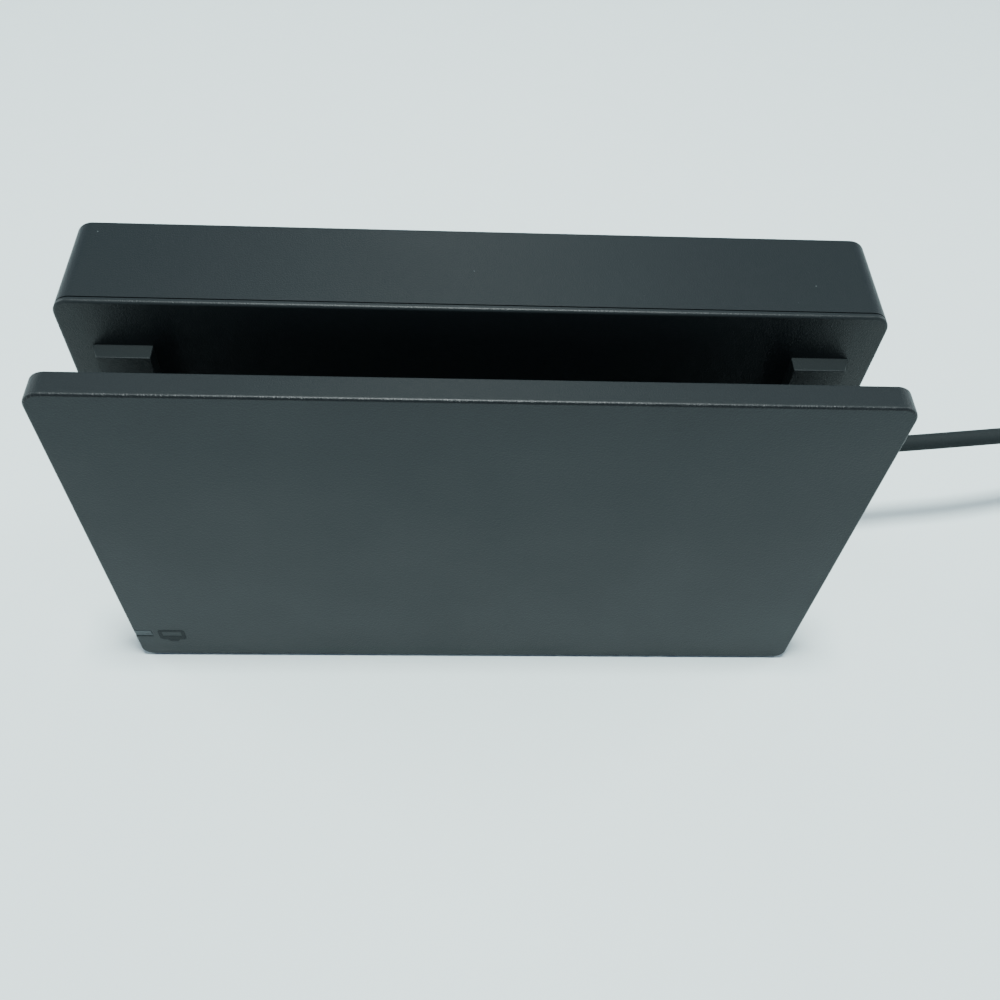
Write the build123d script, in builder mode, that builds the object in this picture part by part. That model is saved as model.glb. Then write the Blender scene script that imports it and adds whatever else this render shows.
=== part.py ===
from build123d import *
import math
import os

os.makedirs("parts", exist_ok=True)

# Overall size, in millimetres: x to the right, y to the back, z up
width = 173.0
height = 104.0

# Layers from front to back
front_depth = 6.0
slot_depth = 19.0
rear_depth = 24.8
cover_gap = 0.2
cover_depth = 4.0

# Shells
wall = 2.0
corner_radius = 4.0
base_corner_radius = 3.0
front_edge_radius = 0.8
rim_radius = 0.3
lip_depth = 1.2
lip_radius = 0.7
rear_edge_radius = 1.0
nest_gap = 0.15
seam_gap = 0.3
tongue_depth = 1.6
front_panel_depth = 1.6
post_radius = 2.5
post_span_x = 140.0
post_span_z = 62.0

# Feet
foot_height = 0.3
foot_seat = 0.6
foot_length = 16.0
foot_width = 6.0
foot_edge = 0.2
foot_inset_x = 18.0
front_foot_inset = 15.5
rear_foot_inset = 6.8

# Slot for the console
floor_rise = 12.2
floor_thickness = 2.0
base_inset = 1.0
skirt_thickness = 2.0
rail_inset = 5.7
rail_width = 12.6
rail_depth = 3.7
rail_slant = 1.5
rail_height = 79.2
rail_edge_radius = 0.25
front_rail_depth = 0.8
rest_inset = 24.5
rest_length = 32.0
rest_width = 9.0
rest_height = 1.0

# Tilting plug that the console drops on to
carrier_width = 36.4
carrier_depth = 12.0
carrier_radius = 1.5
carrier_room = 0.8
carrier_rise = 0.8
carrier_block = 4.8
leg_width = 3.2
leg_depth = 8.0
trunnion_radius = 1.5
trunnion_gap = 0.05
trunnion_drop = 1.5
leg_overlap = 2.0
bearing_gap = 0.8
bearing_width = 3.0
bearing_depth = 6.0
plug_shell_width = 8.3
plug_shell_height = 2.5
plug_shell_wall = 0.3
plug_reach = 6.6
plug_bore_depth = 6.0
plug_hole_gap = 0.1
plug_board_gap = 1.0
plug_board_depth = 8.0
plug_board_thickness = 1.0
spring_inset = 1.0
spring_width = 4.0
spring_thickness = 0.3
spring_half_base = 2.4
spring_half_top = 3.6
spring_bend = 1.2
spring_clearance = 0.5

# Ribbons and their sockets
ribbon_thickness = 0.3
ribbon_width = 14.0
ribbon_room = 1.5
ribbon_bend = 2.0
ribbon_clearance = 0.4
ribbon_slot = 3.2
ribbon_climb = 8.6
socket_margin = 1.0
socket_height = 3.0
socket_depth = 2.0
plug_socket_depth = 2.6
plug_socket_height = 1.2
light_ribbon_width = 5.0
light_ribbon_inset = 44.0
side_ribbon_width = 8.0
side_ribbon_lap = 5.0
side_ribbon_rise = 40.5

# Boards
board_thickness = 1.6
board_radius = 2.0
standoff_length = 9.2
standoff_radius = 3.0
board_margin_left = 28.5
board_gap = 0.2
board_low = 11.7
board_high = 14.0
hole_inset = 6.0
side_board_width = 20.2
side_board_low = 22.5
side_board_height = 46.0
side_board_gap = 0.3
shield_depth = 5.0
shield_sheet = 0.4
shield_radius = 2.0
shield_from_left = 10.0
shield_from_ports = 8.1
shield_from_low = 16.0
shield_from_high = 10.0
chip_size = 13.0
chip_height = 1.4
small_chip_size = 8.0
chip_margin = 8.5

# Sockets: clear width, clear height and length of each kind
socket_sheet = 0.35
socket_fit = 0.05
socket_recess = 0.4
insulator_base = 2.0
tongue_setback = 1.0
video_clear = (14.1, 4.65)
video_length = 11.2
video_bevel = 1.2
data_clear = (12.5, 5.1)
data_length = 13.5
power_clear = (8.4, 2.6)
power_length = 8.0
video_tongue = (11.2, 1.2)
data_tongue = (11.1, 1.9)
data_tongue_shift = 1.1
power_tongue = (6.7, 0.7)
aperture_gap = 0.3
video_rise = 18.0
power_drop = 16.0
data_pitch = 13.0
side_data_rise = (12.0, 34.0)

# Cable recess in the rear housing
recess_width = 54.5
recess_rise = 19.7
recess_top_gap = 12.0
recess_wall = 1.6
recess_radius = 2.0
exit_drop = 11.0
exit_height = 34.0
exit_margin = 0.8
exit_radius = 3.0

# Rear cover and its hinge
cover_wall = 1.6
cover_edge_radius = 1.5
cover_low = 4.7
cover_top_gap = 4.5
cover_side_gap = 3.0
cover_ribs = 1.2
hinge_inset = 6.0
ear_height = 5.0
ear_gap = 0.2
ear_clearance = 0.6
pin_radius = 1.0
pin_gap = 0.05
pin_length = 3.5
pin_end_gap = 0.3
hinge_solid = 6.0
cover_exit_depth = 7.0
finger_radius = 7.0
finger_offset = 3.0
finger_drop = 18.0
hook_width = 8.0
hook_thickness = 1.2
hook_reach = 3.2
hook_barb = 0.4
hook_gap = 0.5
hook_inset = 26.5
hook_margin_low = 5.6
hook_margin_high = 2.8

# Screws
screw_radius = 1.1
screw_gap = 0.1
screw_head_radius = 2.3
screw_length = 8.0
boss_radius = 3.0
boss_inset_x = 15.0
boss_rise = 7.0
boss_drop = 6.5
boss_from_recess = 5.0
board_screw_length = 6.0
board_head_height = 1.3
base_screw_x = 5.0
base_screw_y = 5.0
base_screw_length = 6.0
base_boss_radius = 2.6

# Status light
light_rise = 11.5
light_height = 3.1
light_reach = 4.8
light_wrap = 4.0
light_gap = 0.15
light_sill = 0.8
light_sill_depth = 0.4
light_edge_radius = 0.3
light_flange_width = 3.4
light_flange_height = 4.0
light_flange_depth = 0.5
light_flange_gap = 0.2
light_board_length = 46.0
light_board_height = 8.0
light_board_low = 6.2
light_board_gap = 0.6
light_board_thickness = 1.0
light_pad_radius = 2.0
lamp_size = (2.0, 1.7)
lamp_height = 0.5
lamp_gap = 0.3

# Video lead and its two plugs
cable_diameter = 4.5
cable_plug_width = 20.0
cable_plug_height = 10.4
cable_plug_length = 30.0
cable_plug_radius = 2.4
cable_plug_edge = 0.6
cable_plug_standoff = 1.0
cable_plug_room = 0.8
cable_tip_fit = 0.1
cable_tip_sheet = 0.4
cable_tip_insert = 8.8
relief_length = 17.0
relief_radius = 4.2
relief_end_radius = 3.2
relief_grooves = 3
relief_groove_width = 1.2
relief_groove_depth = 0.7
coil_x = 245.0
coil_y = 14.0
coil_radius = 24.75
coil_columns = 3
coil_layers = 3
tie_thickness = 0.6
tie_angle = 20.0
tie_gap = 0.1
tail_length = 25.0

# Places worked out from the sizes above
left_x = -width / 2
right_x = width / 2
depth = front_depth + slot_depth + rear_depth + cover_gap + cover_depth
front_y = -depth / 2
slot_front_y = front_y + front_depth
slot_rear_y = slot_front_y + slot_depth
slot_middle_y = (slot_front_y + slot_rear_y) / 2
rear_back_y = slot_rear_y + rear_depth
back_y = depth / 2
seam_y = slot_rear_y + lip_depth
housing_front_y = seam_y + seam_gap
panel_back_y = seam_y + tongue_depth
front_inner_y = front_y + wall
bottom_z = foot_height
body_height = height - bottom_z
middle_z = bottom_z + body_height / 2
floor_z = bottom_z + floor_rise
floor_under_z = floor_z - floor_thickness
base_top_z = bottom_z + wall
rail_outer = right_x - rail_inset
rail_inner = rail_outer - rail_width
console_y = (slot_front_y + front_rail_depth + slot_rear_y - rail_depth) / 2
base_half = right_x - base_inset

carrier_top_z = floor_z + carrier_rise
carrier_under_z = carrier_top_z - carrier_block
pivot_z = carrier_under_z - trunnion_drop
plug_board_z = carrier_under_z - plug_board_thickness
plug_board_width = carrier_width - 2 * leg_width - 2 * plug_board_gap
spring_x = plug_board_width / 2 - spring_inset - spring_width / 2
bearing_inner = carrier_width / 2 + bearing_gap
bearing_middle = bearing_inner + bearing_width / 2
ribbon_z = plug_board_z - plug_socket_height / 2

board_front_y = panel_back_y + standoff_length
board_back_y = board_front_y + board_thickness
recess_left = right_x - wall - recess_width
recess_right = right_x - wall
recess_low_z = bottom_z + recess_rise
recess_high_z = height - recess_top_gap
recess_height = recess_high_z - recess_low_z
video_y = board_back_y + video_clear[1] / 2 + socket_sheet
data_y = board_back_y + data_clear[1] / 2 + socket_sheet
power_y = board_back_y + power_clear[1] / 2 + socket_sheet
video_z = recess_low_z + video_rise
power_z = recess_high_z - power_drop
data_z = power_z - data_pitch
recess_floor_y = video_y - cable_plug_height / 2 - cable_plug_room
exit_low_z = video_z - exit_drop
exit_middle_z = exit_low_z + exit_height / 2
exit_front_y = recess_floor_y + exit_margin
mouth_x = recess_left - socket_recess
side_mouth_x = left_x + socket_recess
side_board_low_z = bottom_z + side_board_low
side_data_z = [side_board_low_z + rise for rise in side_data_rise]
board_left = left_x + board_margin_left
board_right = recess_left - recess_wall - board_gap
board_low_z = bottom_z + board_low
board_high_z = height - board_high
side_board_left = left_x + wall + side_board_gap
side_board_right = side_board_left + side_board_width
socket_z = ribbon_z + ribbon_climb
light_ribbon_x = left_x + light_ribbon_inset

cover_front_y = rear_back_y + cover_gap
barrel_radius = cover_depth / 2
hinge_x = left_x + hinge_inset
hinge_y = back_y - barrel_radius
cover_right = right_x - cover_side_gap
cover_low_z = bottom_z + cover_low
cover_high_z = height - cover_top_gap
cover_height = cover_high_z - cover_low_z
ear_room = ear_height + ear_gap
hook_x = right_x - hook_inset
hook_heights = (cover_low_z + hook_margin_low, cover_high_z - hook_margin_high)

light_z = bottom_z + light_rise
light_low_z = light_z - light_height / 2 + light_sill
light_board_y = front_inner_y + light_board_gap
light_board_z = bottom_z + light_board_low
light_board_left = left_x + wall + light_flange_gap
coil_base_z = tie_thickness

boss_low_z = bottom_z + boss_rise
boss_high_z = height - boss_drop
housing_screw_points = [
    (x, z)
    for x in (left_x + boss_inset_x, recess_left - recess_wall - boss_from_recess, right_x - boss_inset_x)
    for z in (boss_low_z, boss_high_z)
]
board_screw_points = [
    (x, z)
    for x in (board_left + hole_inset, board_right - hole_inset)
    for z in (board_low_z + hole_inset, board_high_z - hole_inset)
]
side_hole_x = side_board_right - hole_inset
side_screw_points = [
    (side_hole_x, side_board_low_z + hole_inset),
    (side_hole_x, side_board_low_z + side_board_height - hole_inset),
]
standoff_points = board_screw_points + side_screw_points
base_screw_points = [
    (side * (base_half - base_screw_x), console_y + shift)
    for side in (-1, 1)
    for shift in (-base_screw_y, base_screw_y)
]


def upright(y):
    """A plane drawn in x and z that faces the front, so a negative extrusion goes back."""
    return Plane(origin=(0, y, 0), x_dir=(1, 0, 0), z_dir=(0, -1, 0))


def sideways(x):
    """A plane drawn in y and z that faces the right."""
    return Plane(origin=(x, 0, 0), x_dir=(0, 1, 0), z_dir=(1, 0, 0))


def outline(inset):
    """The dock's rounded front outline, drawn smaller all round by the inset."""
    with Locations((0, middle_z)):
        Rectangle(width - 2 * inset, body_height - 2 * inset)
    fillet(vertices().group_by(Axis.Y)[0], base_corner_radius - inset)
    fillet(vertices().group_by(Axis.Y)[-1], corner_radius - inset)


def save(part, name):
    """Label a finished piece and write it."""
    part.label = name
    export_step(part, f"parts/{name}.step")


# Front cover: a shallow tray with a slit for the status light and a sunken sill under it
with BuildPart() as front_cover:
    with BuildSketch(upright(front_y)):
        outline(0)
    extrude(amount=-front_depth)
    fillet(front_cover.faces().sort_by(Axis.Y)[0].edges(), front_edge_radius)
    fillet(front_cover.faces().sort_by(Axis.Y)[-1].edges(), rim_radius)
    with BuildSketch(upright(slot_front_y)):
        outline(wall)
    extrude(amount=front_depth - wall, mode=Mode.SUBTRACT)
    with BuildSketch(upright(front_inner_y)):
        with Locations((0, middle_z)):
            with GridLocations(post_span_x / 2, post_span_z, 3, 2):
                Circle(post_radius)
    extrude(amount=-(front_depth - wall - front_panel_depth))
    with BuildSketch(upright(front_inner_y)):
        with Locations((light_board_left + light_board_length / 2, light_board_z + light_board_height / 2)):
            with GridLocations(light_board_length / 2, 0, 2, 1):
                Circle(light_pad_radius)
    extrude(amount=-light_board_gap)
    with BuildSketch(Plane.XY.offset(light_low_z)):
        with Locations((left_x, front_y)):
            Rectangle(2 * light_reach, 2 * light_wrap)
    extrude(amount=light_height - light_sill, mode=Mode.SUBTRACT)
    with BuildSketch(Plane.XY.offset(light_low_z - light_sill)):
        with Locations((left_x, front_y)):
            Rectangle(2 * light_reach, 2 * light_wrap)
        with Locations((left_x + light_sill_depth, front_y + light_sill_depth)):
            Rectangle(light_reach, light_wrap, align=Align.MIN, mode=Mode.SUBTRACT)
    extrude(amount=light_sill, mode=Mode.SUBTRACT)
save(front_cover.part, "front_cover")

# Light pipe: fills the slit flush with the front and the left side, above the sunken sill
with BuildPart() as light_pipe:
    with BuildSketch(upright(front_y)):
        outline(0)
    extrude(amount=-front_depth)
    fillet(light_pipe.faces().sort_by(Axis.Y)[0].edges(), front_edge_radius)
    with BuildSketch(upright(slot_front_y)):
        outline(wall)
    extrude(amount=front_depth - wall, mode=Mode.SUBTRACT)
    with BuildSketch(Plane.XY.offset(light_low_z + light_gap)):
        with Locations((left_x, front_y)):
            Rectangle(2 * (light_reach - light_gap), 2 * (light_wrap - light_gap))
    extrude(amount=light_height - light_sill - 2 * light_gap, mode=Mode.INTERSECT)
    light_edges = light_pipe.faces().filter_by(Axis.Z).edges()
    outer_edges = light_edges.filter_by(
        lambda edge: min(edge.center().X - left_x, edge.center().Y - front_y) < wall / 4
    )
    fillet(outer_edges, light_edge_radius)
    with BuildSketch(upright(front_inner_y)):
        with Locations((light_board_left + light_flange_width / 2, light_z)):
            Rectangle(light_flange_width, light_flange_height)
    extrude(amount=-light_flange_depth)
save(light_pipe.part, "light_pipe")

# Status light and its board, inside the front cover
with BuildPart() as light_board:
    with BuildSketch(upright(light_board_y)):
        with Locations((light_board_left + light_board_length / 2, light_board_z + light_board_height / 2)):
            Rectangle(light_board_length, light_board_height)
    extrude(amount=-light_board_thickness)
save(light_board.part, "light_board")

with BuildPart() as status_light:
    with BuildSketch(upright(light_board_y)):
        with Locations((light_board_left + light_flange_width + lamp_gap + lamp_size[0] / 2, light_z)):
            Rectangle(*lamp_size)
    extrude(amount=lamp_height)
save(status_light.part, "status_light")

# Cradle frame: the slot's two walls, its floor, rails, skirts, standoffs and bosses
with BuildPart() as cradle_frame:
    with BuildSketch(upright(slot_rear_y)):
        outline(0)
    extrude(amount=-lip_depth)
    fillet(cradle_frame.faces().sort_by(Axis.Y)[0].edges(), lip_radius)
    with BuildSketch(upright(seam_y)):
        outline(wall + nest_gap)
    extrude(amount=-tongue_depth)
    with BuildSketch(upright(slot_front_y)):
        outline(wall + nest_gap)
    extrude(amount=front_panel_depth)

    # Floor, end skirts and the two ribs that the console stands on
    with BuildSketch(Plane.XY.offset(floor_under_z)):
        with Locations((0, slot_middle_y)):
            Rectangle(2 * base_half, slot_depth)
    extrude(amount=floor_thickness)
    with BuildSketch(Plane.XY.offset(bottom_z)):
        with Locations((0, slot_middle_y)):
            with GridLocations(2 * base_half - skirt_thickness, 0, 2, 1):
                Rectangle(skirt_thickness, slot_depth)
    extrude(amount=floor_under_z - bottom_z)
    with BuildSketch(Plane.XY.offset(floor_z)):
        with Locations((0, console_y)):
            with GridLocations(width - 2 * rest_inset - rest_length, 0, 2, 1):
                RectangleRounded(rest_length, rest_width, rest_height)
    extrude(amount=rest_height)

    # Guide rails: deep ones on the rear wall, low ones on the front wall
    with BuildSketch(Plane.XY.offset(floor_z)):
        with BuildLine():
            Polyline(
                (rail_inner, slot_rear_y),
                (rail_outer, slot_rear_y),
                (rail_outer - rail_slant, slot_rear_y - rail_depth),
                (rail_inner, slot_rear_y - rail_depth),
                close=True,
            )
        make_face()
        mirror(about=Plane.YZ)
    extrude(amount=rail_height)
    rail_tops = cradle_frame.faces().filter_by_position(
        Axis.Z, floor_z + rail_height - nest_gap, floor_z + rail_height + nest_gap
    )
    fillet(
        rail_tops.edges().filter_by_position(Axis.Y, slot_rear_y - 2 * rail_depth, slot_rear_y - nest_gap),
        rail_edge_radius,
    )
    with BuildSketch(upright(slot_front_y)):
        with Locations((0, floor_z + rail_height / 2)):
            with GridLocations(rail_inner + rail_outer, 0, 2, 1):
                Rectangle(rail_width, rail_height)
    extrude(amount=-front_rail_depth)

    # Opening for the tilting plug, with the upper halves of its bearings
    with BuildSketch(Plane.XY.offset(floor_under_z)):
        with Locations((0, console_y)):
            RectangleRounded(
                carrier_width + 2 * carrier_room, carrier_depth + 2 * carrier_room, carrier_radius
            )
    extrude(amount=floor_thickness, mode=Mode.SUBTRACT)
    with BuildSketch(Plane.XY.offset(pivot_z)):
        with Locations((0, console_y)):
            with GridLocations(2 * bearing_middle, 0, 2, 1):
                Rectangle(bearing_width, bearing_depth)
    extrude(amount=floor_under_z - pivot_z)
    with BuildSketch(sideways(-bearing_inner - bearing_width)):
        with Locations((console_y, pivot_z)):
            Circle(trunnion_radius + trunnion_gap)
    extrude(amount=2 * (bearing_inner + bearing_width), mode=Mode.SUBTRACT)

    # Ways for the ribbons
    with BuildSketch(upright(slot_rear_y)):
        with Locations((0, ribbon_z)):
            Rectangle(ribbon_width + 2 * ribbon_room, ribbon_slot)
        with Locations((light_ribbon_x, ribbon_z)):
            Rectangle(light_ribbon_width + 2 * ribbon_room, ribbon_slot)
    extrude(amount=-(lip_depth + tongue_depth), mode=Mode.SUBTRACT)
    with BuildSketch(upright(slot_front_y)):
        with Locations((light_ribbon_x, ribbon_z)):
            Rectangle(light_ribbon_width + 2 * ribbon_room, ribbon_slot)
    extrude(amount=front_panel_depth, mode=Mode.SUBTRACT)

    # Bosses for the housing, standoffs for the boards, bosses for the bottom cover
    with BuildSketch(upright(panel_back_y)):
        with Locations(*housing_screw_points):
            Circle(boss_radius)
    extrude(amount=-(rear_back_y - wall - panel_back_y))
    with BuildSketch(upright(rear_back_y - wall)):
        with Locations(*housing_screw_points):
            Circle(screw_radius + screw_gap)
    extrude(amount=screw_length, mode=Mode.SUBTRACT)
    with BuildSketch(upright(panel_back_y)):
        with Locations(*standoff_points):
            Circle(standoff_radius)
    extrude(amount=-standoff_length)
    with BuildSketch(upright(board_front_y)):
        with Locations(*standoff_points):
            Circle(screw_radius + screw_gap)
    extrude(amount=board_screw_length, mode=Mode.SUBTRACT)
    with BuildSketch(Plane.XY.offset(base_top_z)):
        with Locations(*base_screw_points):
            Circle(base_boss_radius)
    extrude(amount=floor_under_z - base_top_z)
    with BuildSketch(Plane.XY.offset(base_top_z)):
        with Locations(*base_screw_points):
            Circle(screw_radius + screw_gap)
    extrude(amount=base_screw_length, mode=Mode.SUBTRACT)
save(cradle_frame.part, "cradle_frame")

# Rear housing: a shell with the cable recess, port openings and hinge ears
with BuildPart() as rear_housing:
    with BuildSketch(upright(housing_front_y)):
        outline(0)
    extrude(amount=-(rear_back_y - housing_front_y))
    fillet(rear_housing.faces().sort_by(Axis.Y)[-1].edges(), rear_edge_radius)
    with BuildSketch(upright(housing_front_y)):
        outline(wall)
    extrude(amount=-(rear_back_y - wall - housing_front_y), mode=Mode.SUBTRACT)

    # Tub of the cable recess, open at the back
    tub_left = recess_left - recess_wall
    tub_right = recess_right + wall / 4
    with BuildSketch(upright(rear_back_y)):
        with Locations(((tub_left + tub_right) / 2, recess_low_z + recess_height / 2)):
            Rectangle(tub_right - tub_left, recess_height + 2 * recess_wall)
    extrude(amount=rear_back_y - recess_floor_y + recess_wall)
    with BuildSketch(upright(rear_back_y)):
        with Locations(((recess_left + recess_right) / 2, recess_low_z + recess_height / 2)):
            RectangleRounded(recess_width, recess_height, recess_radius)
    extrude(amount=rear_back_y - recess_floor_y, mode=Mode.SUBTRACT)

    # Way out for the cables in the right side
    with BuildSketch(sideways(right_x)) as cable_exit:
        with Locations(((exit_front_y + back_y) / 2, exit_middle_z)):
            Rectangle(back_y - exit_front_y, exit_height)
        fillet(cable_exit.vertices().group_by(Axis.Y)[0], exit_radius)
    extrude(amount=-wall, mode=Mode.SUBTRACT)

    # Openings for the sockets
    with BuildSketch(sideways(recess_left)):
        for port_y, port_z, clear in (
            (video_y, video_z, video_clear),
            (data_y, data_z, data_clear),
            (power_y, power_z, power_clear),
        ):
            with Locations((port_y, port_z)):
                margin = 2 * (socket_sheet + aperture_gap)
                Rectangle(clear[1] + margin, clear[0] + margin)
    extrude(amount=-recess_wall, mode=Mode.SUBTRACT)
    with BuildSketch(sideways(left_x)):
        with Locations(*[(data_y, port_z) for port_z in side_data_z]):
            margin = 2 * (socket_sheet + aperture_gap)
            Rectangle(data_clear[1] + margin, data_clear[0] + margin)
    extrude(amount=wall, mode=Mode.SUBTRACT)

    # Ears that carry the rear cover's pins
    for ear_z, hole_z in (
        (cover_low_z, cover_low_z + ear_height - pin_length - pin_end_gap),
        (cover_high_z - ear_height, cover_high_z - ear_height),
    ):
        with BuildSketch(Plane.XY.offset(ear_z)):
            with Locations((hinge_x, hinge_y)):
                Circle(barrel_radius)
            with Locations((hinge_x, (hinge_y + rear_back_y - wall / 2) / 2)):
                Rectangle(2 * barrel_radius, hinge_y - rear_back_y + wall / 2)
        extrude(amount=ear_height)
        with BuildSketch(Plane.XY.offset(hole_z)):
            with Locations((hinge_x, hinge_y)):
                Circle(pin_radius + pin_gap)
        extrude(amount=pin_length + pin_end_gap, mode=Mode.SUBTRACT)

    # Slots for the cover's hooks, and countersunk screw holes
    with BuildSketch(upright(rear_back_y)):
        with Locations(*[(hook_x, hook_z) for hook_z in hook_heights]):
            Rectangle(hook_width + 2 * hook_gap, hook_thickness + 2 * (hook_barb + hook_gap))
    extrude(amount=wall, mode=Mode.SUBTRACT)
    screw_planes = [
        Plane(origin=(x, rear_back_y, z), x_dir=(1, 0, 0), z_dir=(0, 1, 0)) for x, z in housing_screw_points
    ]
    with Locations(*screw_planes):
        CounterSinkHole(screw_radius + screw_gap, screw_head_radius + screw_gap, depth=wall)

    # Seats for the rear feet
    with BuildSketch(Plane.XY.offset(bottom_z)):
        with Locations((0, rear_back_y - rear_foot_inset)):
            with GridLocations(width - 2 * foot_inset_x, 0, 2, 1):
                SlotOverall(foot_length, foot_width)
    extrude(amount=foot_seat, mode=Mode.SUBTRACT)
save(rear_housing.part, "rear_housing")

# Rear cover: a ribbed panel on a barrel hinge, with two snap hooks
with BuildPart() as rear_cover:
    with BuildSketch(upright(back_y)) as cover_face:
        with Locations(((hinge_x + cover_right) / 2, cover_low_z + cover_height / 2)):
            Rectangle(cover_right - hinge_x, cover_height)
        fillet(cover_face.vertices().group_by(Axis.X)[-1], corner_radius)
    extrude(amount=cover_depth)
    fillet(rear_cover.faces().sort_by(Axis.Y)[-1].edges().sort_by(Axis.X)[1:], cover_edge_radius)

    # Hollow inside, in three fields between ribs, with a rim round the cable exit
    inner_left = hinge_x + hinge_solid
    inner_right = cover_right - cover_wall
    field_height = (cover_height - 2 * cover_wall - 2 * cover_ribs) / 3
    with BuildSketch(upright(cover_front_y)):
        with Locations(((inner_left + inner_right) / 2, cover_low_z + cover_height / 2)):
            with GridLocations(0, field_height + cover_ribs, 1, 3):
                Rectangle(inner_right - inner_left, field_height)
        with Locations((cover_right - cover_exit_depth / 2, exit_middle_z)):
            Rectangle(
                cover_exit_depth + 2 * cover_wall, exit_height + 2 * cover_wall, mode=Mode.SUBTRACT
            )
        with Locations((cover_right + finger_offset, cover_high_z - finger_drop)):
            Circle(finger_radius + cover_wall, mode=Mode.SUBTRACT)
    extrude(amount=-(cover_depth - cover_wall), mode=Mode.SUBTRACT)

    # Cable exit, finger notch and room for the ears
    with BuildSketch(upright(back_y)) as cover_cuts:
        with Locations((cover_right, exit_middle_z)):
            RectangleRounded(2 * cover_exit_depth, exit_height, exit_radius)
        with Locations((cover_right + finger_offset, cover_high_z - finger_drop)):
            Circle(finger_radius)
        with Locations((hinge_x, cover_low_z + cover_height / 2)):
            with GridLocations(0, cover_height - ear_room, 1, 2):
                Rectangle(2 * (barrel_radius + ear_clearance), ear_room)
    extrude(amount=cover_depth, mode=Mode.SUBTRACT)

    # Barrel and pins
    with BuildSketch(Plane.XY.offset(cover_low_z + ear_room)):
        with Locations((hinge_x, hinge_y)):
            Circle(barrel_radius)
    extrude(amount=cover_height - 2 * ear_room)
    with BuildSketch(Plane.XY.offset(cover_low_z + ear_height - pin_length)):
        with Locations((hinge_x, hinge_y)):
            Circle(pin_radius)
    extrude(amount=cover_height - 2 * (ear_height - pin_length))

    # Hooks that snap into the housing, each with a barb at its end
    with BuildSketch(upright(back_y - cover_wall)):
        with Locations(*[(hook_x, hook_z) for hook_z in hook_heights]):
            Rectangle(hook_width, hook_thickness)
    extrude(amount=cover_depth - cover_wall + hook_reach)
    with BuildSketch(upright(cover_front_y - hook_reach + hook_thickness)):
        with Locations(*[(hook_x, hook_z) for hook_z in hook_heights]):
            Rectangle(hook_width, hook_thickness + 2 * hook_barb)
    extrude(amount=hook_thickness)
save(rear_cover.part, "rear_cover")

# Bottom cover: closes the base, with the lower halves of the plug's bearings
with BuildPart() as bottom_cover:
    with BuildSketch(Plane.XY.offset(bottom_z)):
        with Locations((0, slot_middle_y)):
            Rectangle(2 * (base_half - skirt_thickness - nest_gap), slot_depth - 2 * nest_gap)
    extrude(amount=wall)
    with BuildSketch(Plane.XY.offset(base_top_z)):
        with Locations((0, console_y)):
            with GridLocations(2 * bearing_middle, 0, 2, 1):
                Rectangle(bearing_width, bearing_depth)
    extrude(amount=pivot_z - base_top_z)
    with BuildSketch(sideways(-bearing_inner - bearing_width)):
        with Locations((console_y, pivot_z)):
            Circle(trunnion_radius + trunnion_gap)
    extrude(amount=2 * (bearing_inner + bearing_width), mode=Mode.SUBTRACT)
    with BuildSketch(Plane.XY.offset(bottom_z)):
        with Locations((0, front_y + front_foot_inset)):
            with GridLocations(width - 2 * foot_inset_x, 0, 2, 1):
                SlotOverall(foot_length, foot_width)
    extrude(amount=foot_seat, mode=Mode.SUBTRACT)
    base_planes = [
        Plane(origin=(x, y, bottom_z), x_dir=(1, 0, 0), z_dir=(0, 0, -1)) for x, y in base_screw_points
    ]
    with Locations(*base_planes):
        CounterSinkHole(screw_radius + screw_gap, screw_head_radius + screw_gap, depth=wall)
save(bottom_cover.part, "bottom_cover")

# Feet: pads with rounded ends, sunk in their seats
foot_places = {
    "front_left": (-1, front_y + front_foot_inset),
    "front_right": (1, front_y + front_foot_inset),
    "rear_left": (-1, rear_back_y - rear_foot_inset),
    "rear_right": (1, rear_back_y - rear_foot_inset),
}
for place, (side, foot_y) in foot_places.items():
    with BuildPart() as foot:
        with BuildSketch(Plane.XY):
            with Locations((side * (right_x - foot_inset_x), foot_y)):
                SlotOverall(foot_length - 2 * nest_gap, foot_width - 2 * nest_gap)
        extrude(amount=foot_height + foot_seat)
        chamfer(foot.faces().sort_by(Axis.Z)[0].edges(), foot_edge)
    save(foot.part, f"foot_{place}")

# Carrier of the console plug, which rocks on two trunnions
with BuildPart() as connector_carrier:
    with BuildSketch(Plane.XY.offset(carrier_under_z)):
        with Locations((0, console_y)):
            RectangleRounded(carrier_width, carrier_depth, carrier_radius)
    extrude(amount=carrier_block)
    fillet(connector_carrier.faces().sort_by(Axis.Z)[-1].edges(), rail_edge_radius)
    with BuildSketch(Plane.XY.offset(pivot_z - leg_overlap)):
        with Locations((0, console_y)):
            with GridLocations(carrier_width - leg_width, 0, 2, 1):
                Rectangle(leg_width, leg_depth)
    extrude(amount=carrier_under_z - pivot_z + leg_overlap)
    with BuildSketch(sideways(carrier_width / 2)):
        with Locations((console_y, pivot_z)):
            Circle(trunnion_radius)
    extrude(amount=bearing_gap + bearing_width)
    with BuildSketch(sideways(-carrier_width / 2)):
        with Locations((console_y, pivot_z)):
            Circle(trunnion_radius)
    extrude(amount=-(bearing_gap + bearing_width))
    with BuildSketch(Plane.XY.offset(carrier_under_z)):
        with Locations((0, console_y)):
            SlotOverall(plug_shell_width + 2 * plug_hole_gap, plug_shell_height + 2 * plug_hole_gap)
    extrude(amount=carrier_block, mode=Mode.SUBTRACT)
save(connector_carrier.part, "connector_carrier")

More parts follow.
